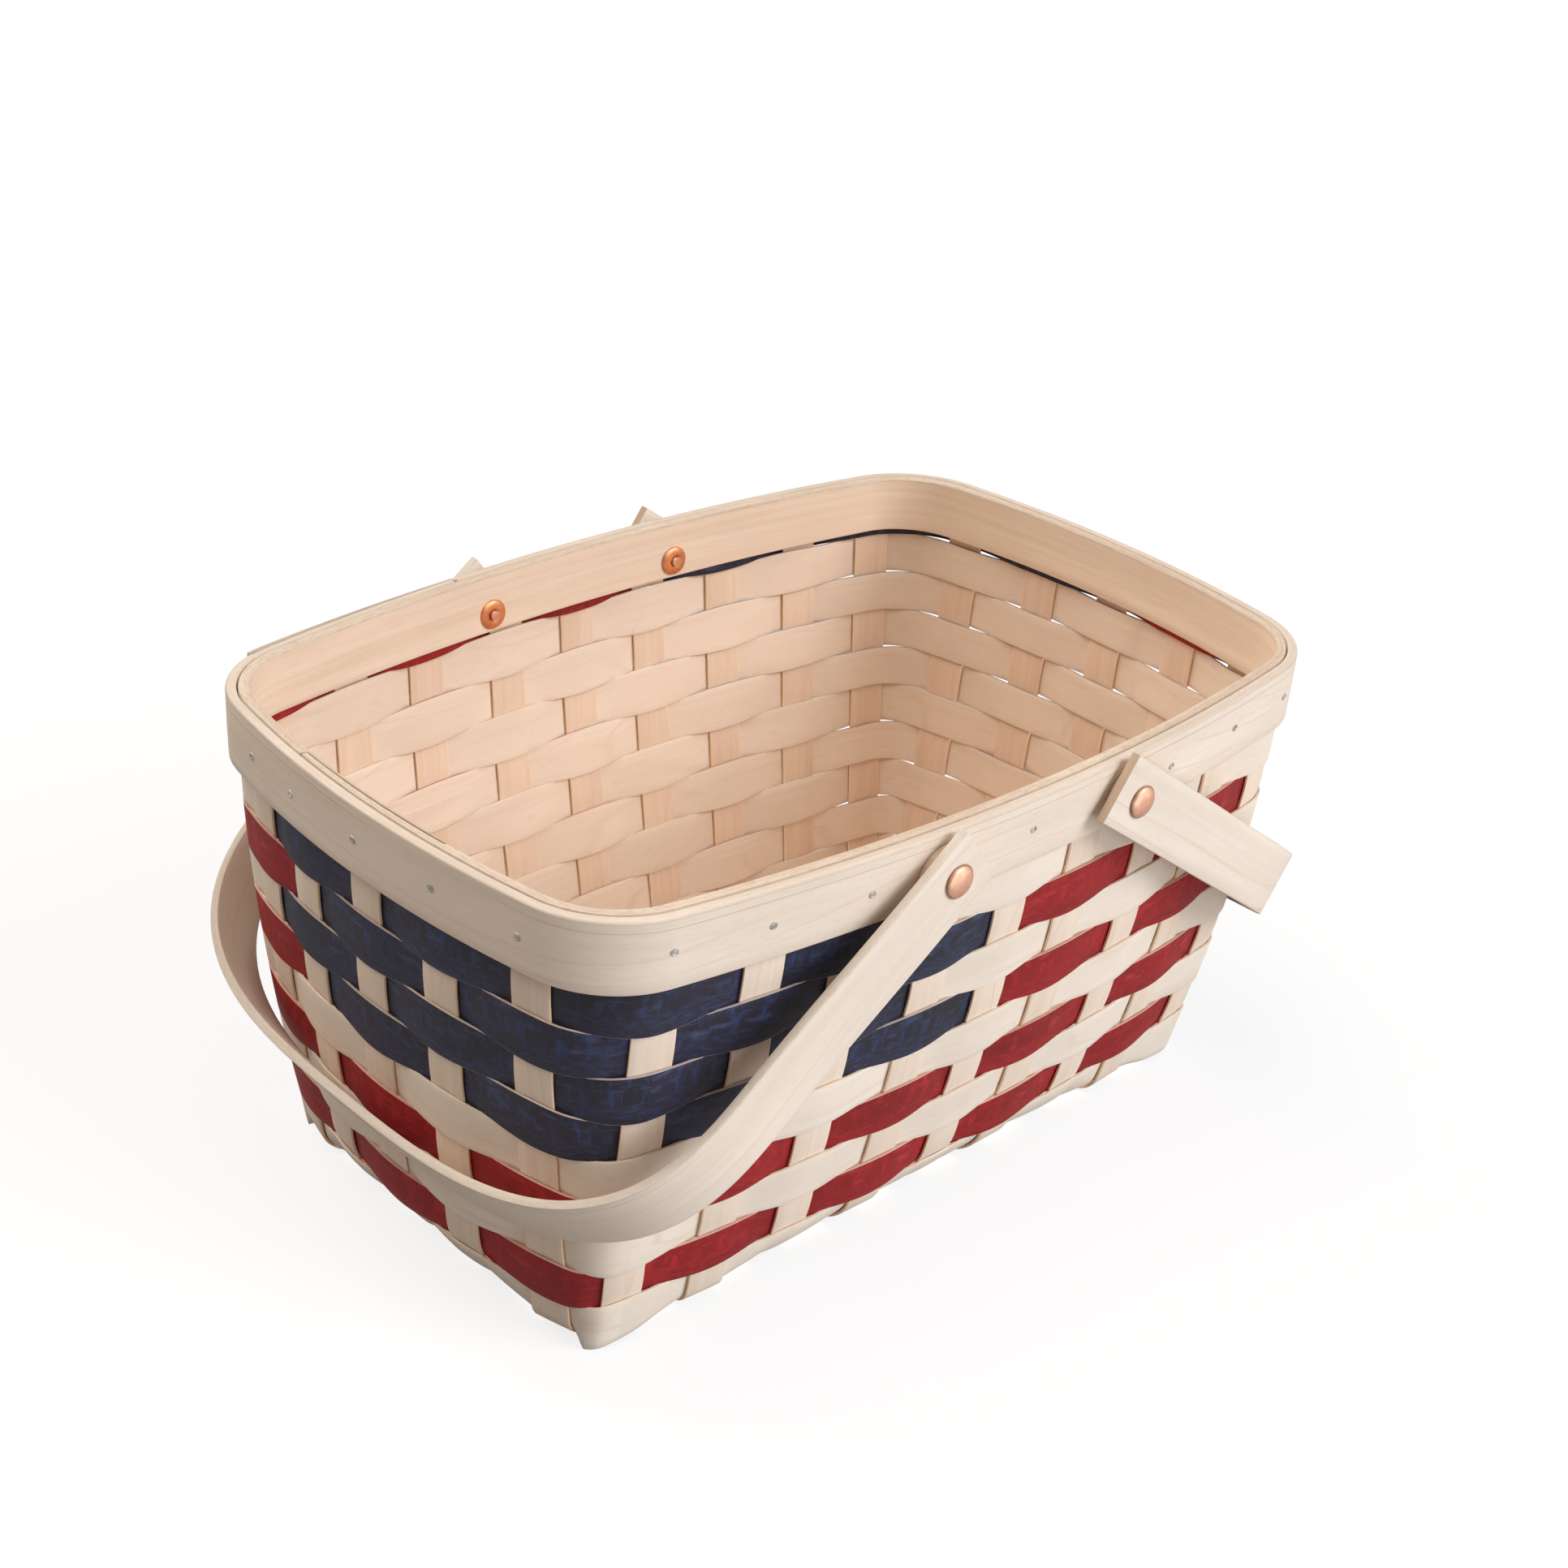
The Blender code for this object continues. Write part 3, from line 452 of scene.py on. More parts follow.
def weave_offset(u, row):
    """Distance of a row from the wall's middle: a cosine wave round the wall.

    Inside the rim it is level past each upright, with half a wave in each gap.
    """
    if row == 0:
        k, gap = upright_and_gap(u)
        return WEAVE_OFFSET * (np.where(k % 2 == 0, 1.0, -1.0) * np.cos(math.pi * gap))
    return WEAVE_DEPTH * np.cos(math.pi * (u + row))


def tip_share(u):
    """1 under a corner of the basket, falling to 0 along the end and the long side beside it."""
    share = np.zeros(len(u))
    half_round = UPRIGHT_COUNT / 2
    for side, last in enumerate(LAST_ON_SIDE):
        far = np.mod(u - last - 0.5 + half_round, UPRIGHT_COUNT) - half_round
        far = far if side % 2 else -far
        rise = np.where(far > 0, far / TIP_ALONG_SIDE, -far / TIP_ALONG_END)
        share = np.maximum(share, 1 - rise)
    return share


def row_stain(row, u):
    """Stain of each place round a row."""
    if row == 0:
        return np.where((u > RIM_ROW_NAVY[0]) & (u < RIM_ROW_NAVY[1]), NAVY_STAIN, RED_STAIN)
    stain = np.full(u.shape, PLAIN if row % 2 else RED_STAIN)
    if row in CANTON_ROWS:
        start, end = CANTON_FROM[1 - row % 2], CANTON_TO[1 - row % 2]
        for place in (u % UPRIGHT_COUNT, (u + UPRIGHT_COUNT / 2) % UPRIGHT_COUNT):
            stain = np.where((place > start) | (place < end), NAVY_STAIN, stain)
    return stain


def weave_row(row):
    """One ring of splint.

    The section's points (height, offset) go through the wall at each ring coordinate.  The
    offset follows the weave's wave.  Both edges spread over the neighbouring rows in step with
    that wave, so that two rows meet along an S curve.  The bottom row's lower edge is drawn down
    to a tip under each corner.  Row 0 is stained inside and the others outside.
    """
    u = np.arange(1.0, UPRIGHT_COUNT + 1.0, ROW_RING_STEP)
    top = WALL_HEIGHT - ROWS_START_BELOW_RIM - (row - 1) * ROW_PITCH
    bottom = top - ROW_PITCH
    height = top - bottom
    section = eased_section(0.0, height, WEAVER_THICKNESS, WEAVER_EASE, FACE_STEPS)
    share = section[:, 0] / height
    reach = spread_over(u)[:, None]
    above = reach * share ** 2 if row else 0.0
    below = reach * (1 - share) ** 2 if row < ROW_COUNT - 1 else 0.0
    h = bottom + section[:, 0] + above - below
    rings = wall(u[:, None], h, weave_offset(u, row)[:, None] + section[:, 1])
    if row == ROW_COUNT - 1:
        rings[..., 2] -= TIP_DROP * tip_share(u)[:, None] * (1 - share) ** 2
    along = distances(rings[:, 0]) + row * ROW_SHIFT
    stain = row_stain(row, u)
    # The inner faces of rows 1 to 9 take the natural tone with painted warm shade.
    strips = (PLAIN_INSIDE_PAINTED_WARM_SHADE, EDGE_OF_STAIN[stain], stain) if row else (stain, PLAIN_EDGE, PLAIN)
    slots = np.stack(np.broadcast_arrays(*section_slots(*strips, FACE_STEPS)), -1)
    piece = skin(f"weave_row_{row}", rings[:, ::-1], SPLINT_FINISHES,
                 np.roll(slots[:, ::-1], -1, 1), along, distances(section), closed=True)
    stands_for(piece, f"weaver_row_{row}")


def foot(k):
    """Where the middle of upright k would meet the floor without its bend, in plan."""
    return np.array(outline(0.0, station(k, 0.0), 0.0)[:2])


def cross_ends(n):
    """Uprights at the front and back of the crosswise splint n, counted from the left."""
    return n, 2 * LONG_SIDE_COUNT + SHORT_SIDE_COUNT + 1 - n


def long_ends(n):
    """Uprights at the left and right of the lengthwise splint n, counted from the front."""
    return UPRIGHT_COUNT + 1 - n, LONG_SIDE_COUNT + n


def meeting(ends, other_ends):
    """Where the middle lines of two splints cross on the base, in plan."""
    first, last = (foot(k) for k in ends)
    other_first, other_last = (foot(k) for k in other_ends)
    sides = np.stack([last - first, other_first - other_last], -1)
    return first + (last - first) * np.linalg.solve(sides, other_first - first)[0]


def base_rise(ends, axis, place):
    """Height of the base along a splint, where the bends at its two ends still lift it."""
    rise = 0.0
    for k in ends:
        radius = upright_bend(k)
        short = max(radius - abs(place - foot(k)[axis]), 0.0)
        rise += radius - math.sqrt(radius ** 2 - short ** 2)
    return rise


def crossing_plane(cross, long):
    """Middle point and the slopes along X and Y of the plane in which two splints cross."""
    ends = (long_ends(long), cross_ends(cross))
    middle = meeting(cross_ends(cross), long_ends(long))
    slopes, height = [], BASE_MID
    for axis in (0, 1):
        low, high = (base_rise(ends[axis], axis, middle[axis] + d)
                     for d in (-CROSSING_HALF, CROSSING_HALF))
        slopes.append((high - low) / (2 * CROSSING_HALF))
        height += (high + low) / 2
    return np.array([*middle, height]), slopes


def crossing_rings(plane, axis, low, section):
    """Rings of a splint over one crossing, flat on the under or the upper side of its plane."""
    middle, slopes = plane
    normal = np.array([-slopes[0], -slopes[1], 1.0])
    normal /= np.linalg.norm(normal)
    in_plane = np.eye(3)[:2]
    in_plane[:, 2] = slopes
    along, across = in_plane[axis] * CROSSING_HALF, in_plane[1 - axis]
    across /= np.linalg.norm(across)
    layer = (-1 if low else 1) * (UPRIGHT_THICKNESS + GAP) / 2
    steps = np.linspace(-1, 1, 3)[:, None, None]
    flat = section[:, 0, None] * across + (layer - section[:, 1, None]) * normal
    return middle + steps * along + flat


def upright_wave(k, h):
    """How far upright k is pushed out (or in) by the row that passes behind (or before) it."""
    rows = np.clip((WALL_HEIGHT - ROWS_START_BELOW_RIM - h) / ROW_PITCH, 0, ROW_COUNT - 1)
    return (UPRIGHT_WAVE if k % 2 == 0 else -UPRIGHT_WAVE) * np.sin(math.pi * rows)


def wall_rings(k, end, section, side_sign):
    """Rings of upright k down its wall and round its bend, top first."""
    top = WALL_HEIGHT - UPRIGHT_TOP_BELOW_RIM
    bend = upright_bend(k)
    h = np.concatenate([np.linspace(top, bend, WALL_RINGS)[:-1],
                        np.linspace(bend, end, FOOT_RINGS)])
    u = k + side_sign * HALF * section[:, 0] / (UPRIGHT_WIDTH / 2)
    return wall(u, h[:, None], section[:, 1] + upright_wave(k, h)[:, None])


def bend_end(k, first_crossing, axis):
    """Unrolled height where upright k's bend ends: at the floor, or just before a crossing."""
    radius = upright_bend(k)
    room = abs(first_crossing - foot(k)[axis]) - CROSSING_HALF - BEND_CLEAR
    return radius * (1 - math.acos(max(1 - room / radius, 0.0)))


def between(last, first):
    """Rings from one crossing to the next: even steps in plan, a smooth step in height."""
    s = np.linspace(0, 1, 8)[1:-1][:, None, None]
    rings = last + (first - last) * s
    ease = s * s * (3 - 2 * s)
    rings[..., 2] = last[..., 2] + (first[..., 2] - last[..., 2]) * ease[..., 0]
    return rings


def splint(name, node, ends, axis, planes, first_is_low, number):
    """A splint that runs down one wall, across the base and up the opposite wall."""
    half = UPRIGHT_WIDTH / 2
    section = eased_section(-half, half, UPRIGHT_THICKNESS, UPRIGHT_EASE, UPRIGHT_FACE_STEPS)
    sign = 1 if axis == 1 else -1
    down = wall_rings(ends[0], bend_end(ends[0], planes[0][0][axis], axis), section, sign)
    up = wall_rings(ends[1], bend_end(ends[1], planes[-1][0][axis], axis), section, -sign)[::-1]
    parts = [down]
    for n, plane in enumerate(planes):
        rings = crossing_rings(plane, axis, first_is_low == (n % 2 == 0), section)
        if n:
            parts.append(between(parts[-1][-1], rings[0]))
        parts.append(rings)
    parts.append(up)
    rings = np.concatenate(parts)
    along = distances(rings.mean(1)) + number * SPLINT_SHIFT
    # The inner faces take a tone with painted warm shade, the sides a tone with painted bounce
    # light.
    slots = section_slots(UPRIGHT_INNER_PAINTED_WARM_SHADE, UPRIGHT_SIDE_PAINTED_BOUNCE, UPRIGHT_OUTSIDE, UPRIGHT_FACE_STEPS)
    piece = skin(name, rings, SPLINT_FINISHES, slots, along, distances(section), cap=PLAIN_EDGE)
    stands_for(piece, node)


def weave_base_and_uprights():
    """Nine crosswise and five lengthwise splints in a plain weave."""
    crossings = [[crossing_plane(n, m) for m in range(1, SHORT_SIDE_COUNT + 1)]
                 for n in range(1, LONG_SIDE_COUNT + 1)]
    for n, planes in enumerate(crossings, 1):
        splint(f"crosswise_splint_{n}", f"cross_splint_{n}", cross_ends(n), 1, planes,
               n % 2 == 1, n)
    for m, planes in enumerate(zip(*crossings), 1):
        splint(f"lengthwise_splint_{m}", f"long_splint_{m}", long_ends(m), 0, planes,
               m % 2 == 0, 20 + m)


# ---- Rim ----

def rim_band(name, node, height, inside, outside, lap, proud, finishes):
    """A bent strip round the rim, its two ends scarfed over each other in the lap.

    The section's points go through the wall at each ring coordinate.  In the lap the strip's
    near and far faces slant evenly from its full thickness to a thin tip.  Its top is bent in
    over the uprights' ends by a lip, but not on the lap's upper layer.
    """
    face, end_grain, top = range(3)
    start, end = lap
    way = 1 if outside > inside else -1
    total = abs(outside - inside)
    lap_u = np.linspace(start, end, LAP_STEPS)
    between_laps = np.arange(end + LAP_END_STEP, start + UPRIGHT_COUNT, BAND_RING_STEP)
    u = np.concatenate([lap_u, between_laps, lap_u + UPRIGHT_COUNT])
    lower = np.clip((u - start) / (end - start), 0, 1)
    upper = np.clip((u - start - UPRIGHT_COUNT) / (end - start), 0, 1)
    slant = total - GAP - 2 * BAND_TIP
    first = np.arange(len(u)) < LAP_STEPS
    last = np.arange(len(u)) >= len(u) - LAP_STEPS
    near = np.where(last, BAND_TIP + slant * upper + GAP + proud * upper, 0.0)
    far = np.where(first, BAND_TIP + slant * lower, total + np.where(last, proud * upper, 0.0))
    depth, share, lip_share = band_shape(height).T
    lip = np.where(last, 0.0, BAND_LIP)[:, None] * lip_share
    offset = near[:, None] + (far - near)[:, None] * share - lip
    rings = wall(u[:, None], WALL_HEIGHT - depth, inside + way * offset)
    loop = depth - (1 - share) * total - lip_share * BAND_LIP
    slots = [top] * 5 + [face] * 18 + [top] * 2
    piece = skin(name, rings, finishes, slots, distances(rings[:, 0]), loop, cap=end_grain)
    stands_for(piece, node)


def band_shape(height):
    """Loop of (depth below the rim, share of the thickness, share of the lip) for a band.

    Its top is rounded towards its far face by a quarter ellipse.
    """
    quarter = np.linspace(0, math.pi / 2, 5)
    corner = [(BAND_ROUNDING * (1 - math.cos(a)), 1 - BAND_ROUNDED_SHARE * (1 - math.sin(a)), 0)
              for a in quarter]
    far = [(d, 1.0, 0.0) for d in np.linspace(0.0016, height - 0.0006, 8)]
    foot_edge = [(height - 0.0002, 0.93, 0.0), (height, 0.80, 0.0),
                 (height, 0.2, 0.0), (height - 0.0003, 0.04, 0.0)]
    near = [(d, 0.0, 0.0) for d in np.linspace(height - 0.0008, BAND_LIP_DEPTH + 0.0006, 5)]
    lip = [(BAND_LIP_DEPTH, 0.0, 1.0), (0.0004, 0.0, 1.0)]
    return np.array([(0.0, 0.0, 0.85), *corner, *far, *foot_edge, *near, *lip])


# ---- Handles and rivets ----

def swing_handle(name, node, body, shape):
    """A strap bent into a hoop: arms that drift to the half span, then superellipse quarters."""
    arm, half_span = shape["arm"], shape["half_span"]
    bow = shape["reach"] - HANDLE_THICKNESS / 2 - arm
    power = 2 / shape["power"]
    angles = np.linspace(0, math.pi / 2, 400)[1:]
    arm_x = np.linspace(0, arm, 60)
    arm_y = PIVOT_Y + (half_span - PIVOT_Y) * (1 - np.cos(math.pi * arm_x / arm)) / 2
    x = np.concatenate([[-shape["end"]], arm_x, arm + bow * np.sin(angles) ** power])
    y = np.concatenate([[PIVOT_Y], arm_y, half_span * np.cos(angles) ** power])
    x, y = np.concatenate([x, x[::-1][1:]]), np.concatenate([y, -y[::-1][1:]])
    far = distances(np.stack([x, y], -1))
    keep = np.linspace(0, far[-1], HANDLE_RINGS)
    x, y = np.interp(keep, far, x), np.interp(keep, far, y)
    dx, dy = np.gradient(x, keep), np.gradient(y, keep)
    size = np.hypot(dx, dy)
    nx, ny = -dy / size, dx / size
    half = HANDLE_WIDTH / 2
    section = eased_section(-half, half, HANDLE_THICKNESS, HANDLE_EASE, FACE_STEPS)
    rings = np.stack([x[:, None] + nx[:, None] * section[:, 1],
                      y[:, None] + ny[:, None] * section[:, 1],
                      np.broadcast_to(section[:, 0], (len(x), len(section)))], -1)
    rings = turned_into_place(rings, shape)
    face, edge, end_grain = range(3)
    slots = section_slots(face, edge, face, FACE_STEPS)
    piece = skin(name, rings, (HANDLE, HANDLE_EDGE, RIM_EDGE), slots, keep, distances(section),
                 cap=end_grain)
    stands_for(piece, node, body)


def turned_into_place(points, shape):
    """Turns points by the handle's hang about Y, then by its turn about Z, and sets them down."""
    c, s = math.cos(shape["hang"]), math.sin(shape["hang"])
    x = points[..., 0] * c + points[..., 2] * s
    z = -points[..., 0] * s + points[..., 2] * c
    c, s = math.cos(shape["turn"]), math.sin(shape["turn"])
    return np.stack([x * c - points[..., 1] * s + shape["pivot_x"], x * s + points[..., 1] * c,
                     z + PIVOT_Z], -1)


def turned_piece(name, node, profile, slots, place, side, lean=0.0, swing=0.0):
    """A copper profile of (radius, height) swept round its axis, which is then laid along Y.

    It leans about X and swings about Z.
    """
    profile = np.array(profile)
    angle = round_angles(TURNED_STEPS)
    r = np.maximum(profile[:, 0], 0.00002)
    rings = np.stack([r[:, None] * np.cos(angle), r[:, None] * np.sin(angle),
                      np.broadcast_to(profile[:, 1, None], (len(r), TURNED_STEPS))], -1)
    c, s = math.cos(lean), math.sin(lean)
    out = rings[..., 2] * c - rings[..., 1] * s
    up = rings[..., 1] * c + rings[..., 2] * s
    across = rings[..., 0] + out * math.sin(swing)
    rings = np.stack([place[0] + across, side * (place[1] + out), place[2] + up], -1)
    piece = skin(name, rings, (COPPER, COPPER_RIM, COPPER_BURR), np.array(slots)[:, None],
                 distances(profile), angle * 0.01)
    stands_for(piece, node)


def rivet(spot, x, side):
    """A copper rivet: domed head with a thin rim outside, a shank, and a peened inner end."""
    handle_face = PIVOT_Y + HANDLE_THICKNESS / 2 + GAP
    rim_face = wall_y(x, PIVOT_Z, INNER_FACE)
    length = handle_face - rim_face + GAP + BURR_THICKNESS + SHANK_PROUD
    dome = [((HEAD_RADIUS - 0.0004) * math.cos(a), HEAD_RIM + HEAD_DOME * math.sin(a))
            for a in np.linspace(math.pi / 2, 0.06, 12)]
    edge = [(HEAD_RADIUS, HEAD_RIM - 0.0002), (HEAD_RADIUS, 0.0002), (HEAD_RADIUS - 0.0003, 0.0)]
    peened = [(SHANK_RADIUS * share, -length + back) for share, back in
              ((1.0, 0.0010), (1.12, 0.0007), (1.05, 0.0002), (0.6, 0.0), (0.0, 0.0))]
    profile = dome + edge + [(SHANK_RADIUS, 0.0)] + peened
    slots = [DULL] * (len(dome) - 1) + [DARK] * len(edge) + [DULL] * (len(peened) + 1)
    turned_piece(f"{spot}_copper_rivet", f"{spot}_rivet", profile, slots,
                 (x, handle_face, PIVOT_Z), side)


def burr(spot, x, side):
    """The copper washer that the rivet's end is peened over, slightly dished and leaning."""
    inner_face = wall_y(x, PIVOT_Z, INNER_FACE) - GAP
    lean = math.atan((wall_y(x, PIVOT_Z + 0.001, 0) - wall_y(x, PIVOT_Z - 0.001, 0)) / 0.002)
    swing = math.atan((wall_y(x + 0.001, PIVOT_Z, 0) - wall_y(x - 0.001, PIVOT_Z, 0)) / 0.002)
    hole, radius, back = SHANK_RADIUS * 1.14, BURR_RADIUS, -BURR_THICKNESS
    profile = [(hole, 0.0), (hole, back + 0.0003), (hole + 0.0003, back),
               (radius * 0.55, back - 0.0001), (radius - 0.0009, back + 0.0001),
               (radius - 0.0002, back + 0.0006), (radius, -0.0004), (radius - 0.0001, 0.0)]
    turned_piece(f"{spot}_copper_burr", f"{spot}_burr", profile, [BRIGHT] * (len(profile) - 1),
                 (x, inner_face, PIVOT_Z), side, -lean, swing)


def spacer(spot, x, side):
    """A wooden disc, its inner face cut to the leaning rim and its edge end grain.

    Each ring is a circle of a radius, at a share of the way from the rim to the handle.
    """
    face, edge = range(2)
    angle = round_angles(SPACER_STEPS)
    outer_face = PIVOT_Y - HANDLE_THICKNESS / 2 - GAP
    eased = SPACER_RADIUS - SPACER_EASE
    rings = []
    for r, share in ((0.0002, 0), (eased, 0), (SPACER_RADIUS, 0.12),
                     (SPACER_RADIUS, 0.88), (eased, 1), (0.0002, 1)):
        px, pz = r * np.cos(angle), r * np.sin(angle)
        inner = wall_y(x + px, PIVOT_Z + pz, OUTER_FACE) + GAP
        y = side * (inner + (outer_face - inner) * share)
        rings.append(np.stack([x + px, y, PIVOT_Z + pz], -1))
    piece = skin(f"{spot}_wood_spacer", np.array(rings), (OUTER_RIM, RIM_EDGE),
                 [[face], [face], [edge], [face], [face]], np.arange(6) * 0.003,
                 angle * SPACER_RADIUS)
    stands_for(piece, f"{spot}_spacer")


def drive_nails():
    """Small nails through the outer band at every upright but those beside a rivet.

    Each is a profile of (radius, height) swept round the normal of the band's outer face.
    """
    k = np.arange(1, UPRIGHT_COUNT + 1)
    u = k + NAIL_SWAY * np.sin(k * 2.4)
    h = WALL_HEIGHT - NAIL_DEPTH + NAIL_UNEVEN * np.sin(k * 1.7)
    place = wall(u, h, OUTER_FACE)
    rivets = np.array([LEFT_HANDLE["pivot_x"], RIGHT_HANDLE["pivot_x"]])
    near = np.abs(place[:, :1] - rivets).min(1) < HANDLE_WIDTH * NAIL_CLEAR
    on_long_side = np.abs(place[:, 1]) > HALF_WIDTH[1] * 0.8
    keep = ~(near & on_long_side)
    u, h, place = u[keep], h[keep], place[keep]
    out = wall(u, h, OUTER_FACE + 0.001) - place
    out /= np.linalg.norm(out, axis=1)[:, None]
    across = wall(u + 0.01, h, OUTER_FACE) - place
    across -= out * (across * out).sum(1)[:, None]
    across /= np.linalg.norm(across, axis=1)[:, None]
    up = np.cross(out, across)
    profile = np.array(NAIL_PROFILE)
    angle = round_angles(NAIL_STEPS)
    rim = np.stack([np.cos(angle), np.sin(angle) * NAIL_OVAL], -1)
    flat = profile[:, 0, None, None] * rim
    proud = profile[:, 1, None, None]
    for n in range(len(u)):
        rings = place[n] + flat[..., :1] * across[n] + flat[..., 1:] * up[n] + proud * out[n]
        piece = skin(f"rim_nail_{n + 1}", rings, (NAIL,), 0, profile[:, 0], angle * 0.001)
        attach(piece, "basket")


def fit_handles():
    """Both handles with the rivets, burrs and spacers that carry them."""
    for word, shape in (("left", LEFT_HANDLE), ("right", RIGHT_HANDLE)):
        swing_handle(f"{word}_swing_handle", f"{word}_handle", f"{word} handle", shape)
        for place, side in (("front", -1), ("back", 1)):
            for part in (rivet, burr, spacer):
                part(f"{word}_{place}", shape["pivot_x"], side)


# ---- Finishes ----

def feed(tree, node, inputs):
    """Gives a node's inputs a number, a colour or another node's output."""
    for name, value in inputs.items():
        place = node.inputs[name]
        if isinstance(value, bpy.types.NodeSocket):
            tree.links.new(value, place)
        else:
            place.default_value = (*value, 1.0) if place.type == "RGBA" else value


def new_node(tree, kind, inputs, **settings):
    """A new node of a kind, with its settings made and then its inputs fed."""
    node = tree.nodes.new("ShaderNode" + kind)
    for name, value in settings.items():
        setattr(node, name, value)
    feed(tree, node, inputs)
    return node


def new_finish(name):
    """A new material with its node tree and its shader."""
    material = bpy.data.materials.new(name)
    material.use_nodes = True
    tree = material.node_tree
    return material, tree, tree.nodes["Principled BSDF"]


def maths(tree, way, *values):
    """The result of a math node on numbers or sockets."""
    return new_node(tree, "Math", dict(enumerate(values)), operation=way).outputs[0]


def spread(tree, value, low, high, to_low, to_high):
    """Maps a value from one range to another, clamped."""
    return new_node(tree, "MapRange", {"Value": value, "From Min": low, "From Max": high,
                                       "To Min": to_low, "To Max": to_high}).outputs["Result"]


def mixed(tree, factor, first, second, way="MIX"):
    """Two colours mixed, or multiplied, by a factor."""
    node = new_node(tree, "Mix", {0: factor}, data_type="RGBA", blend_type=way)
    places = [n for n, place in enumerate(node.inputs) if place.type == "RGBA"]
    feed(tree, node, dict(zip(places, (first, second))))
    return next(place for place in node.outputs if place.type == "RGBA")


def ramp(tree, factor, *stops):
    """A colour ramp through two (place, colour) stops."""
    node = new_node(tree, "ValToRGB", {"Fac": factor})
    for point, (place, colour) in zip(node.color_ramp.elements, stops):
        point.position, point.color = place, (*colour, 1.0)
    return node.outputs["Color"]


def bump(tree, height, strength, distance):
    """The surface's normal, bumped by a height."""
    return new_node(tree, "Bump", {"Height": height, "Strength": strength,
                                   "Distance": distance}).outputs["Normal"]


def stretched_noise(tree, place, fineness, along, across, detail, rough):
    """Noise with so many cycles per metre along and across a piece."""
    place = new_node(tree, "VectorMath", {0: place, 1: (along, across, 1.0)},
                     operation="MULTIPLY").outputs[0]
    return new_node(tree, "TexNoise", {"Vector": place, "Scale": fineness, "Detail": detail,
                                       "Roughness": rough}).outputs["Fac"]


def height_across(tree, place):
    """The second UV coordinate: the distance across a piece."""
    return new_node(tree, "SeparateXYZ", {0: place}).outputs["Y"]


def fibre_group():
    """Wood fibre along a splint, in UV metres.

    Streak is a broad grain, Fibre fine short fibres, Figure slow clouds and Mottle small blots.
    Line is a mask of thin growth lines: contours of the distance across the splint, bent by a
    slow noise.
    """
    group = bpy.data.node_groups.new("splint_fibre", "ShaderNodeTree")
    socket = group.interface.new_socket
    socket(name="Place", in_out="INPUT", socket_type="NodeSocketVector")
    socket(name="Fineness", in_out="INPUT", socket_type="NodeSocketFloat")
    for name in ("Streak", "Fibre", "Figure", "Mottle", "Line", "Height"):
        socket(name=name, in_out="OUTPUT", socket_type="NodeSocketFloat")
    start, end = group.nodes.new("NodeGroupInput"), group.nodes.new("NodeGroupOutput")
    place, fine = start.outputs["Place"], start.outputs["Fineness"]
    streak, fibre, figure, mottle, bend = (
        stretched_noise(group, place, fine, *row) for row in (
            (7.0, 300.0, 4.0, 0.6), (70.0, 3400.0, 3.0, 0.6), (14.0, 60.0, 2.0, 0.5),
            (190.0, 700.0, 7.0, 0.8), (4.0, 18.0, 1.0, 0.5)))
    rings = maths(group, "MULTIPLY", height_across(group, place), 90.0)
    contour = maths(group, "MULTIPLY_ADD", bend, 9.0, rings)
    off = maths(group, "SUBTRACT", maths(group, "FRACT", contour), 0.5)
    off = maths(group, "MULTIPLY", maths(group, "ABSOLUTE", off), 14.0)
    line = maths(group, "MAXIMUM", maths(group, "SUBTRACT", 1.0, off), 0.0)
    patches = maths(group, "MULTIPLY_ADD", figure, 4.0, -1.5)
    patches = maths(group, "SMOOTH_MAX", patches, 0.0, 0.2)
    feed(group, end, {"Streak": streak, "Fibre": fibre, "Figure": figure, "Mottle": mottle,
                      "Line": maths(group, "MULTIPLY", line, patches),
                      "Height": maths(group, "MULTIPLY_ADD", fibre, 0.5, streak)})
    return group


def dark_line_below_top(tree, place, fibre, depth, base):
    """The colour base with a thin broken dark line at a wavering depth below a band's top edge."""
    line_at = maths(tree, "MULTIPLY_ADD", fibre["Figure"], BELOW_TOP_LINE_WAVER, depth - BELOW_TOP_LINE_WAVER / 2)
    near = maths(tree, "ABSOLUTE", maths(tree, "SUBTRACT", height_across(tree, place), line_at))
    mask = spread(tree, near, 0.00012, 0.00034, 0.8, 0.0)
    broken = spread(tree, fibre["Streak"], 0.40, 0.58, 0.1, 0.85)
    return mixed(tree, maths(tree, "MULTIPLY", mask, broken), base, BELOW_TOP_LINE_COLOUR)


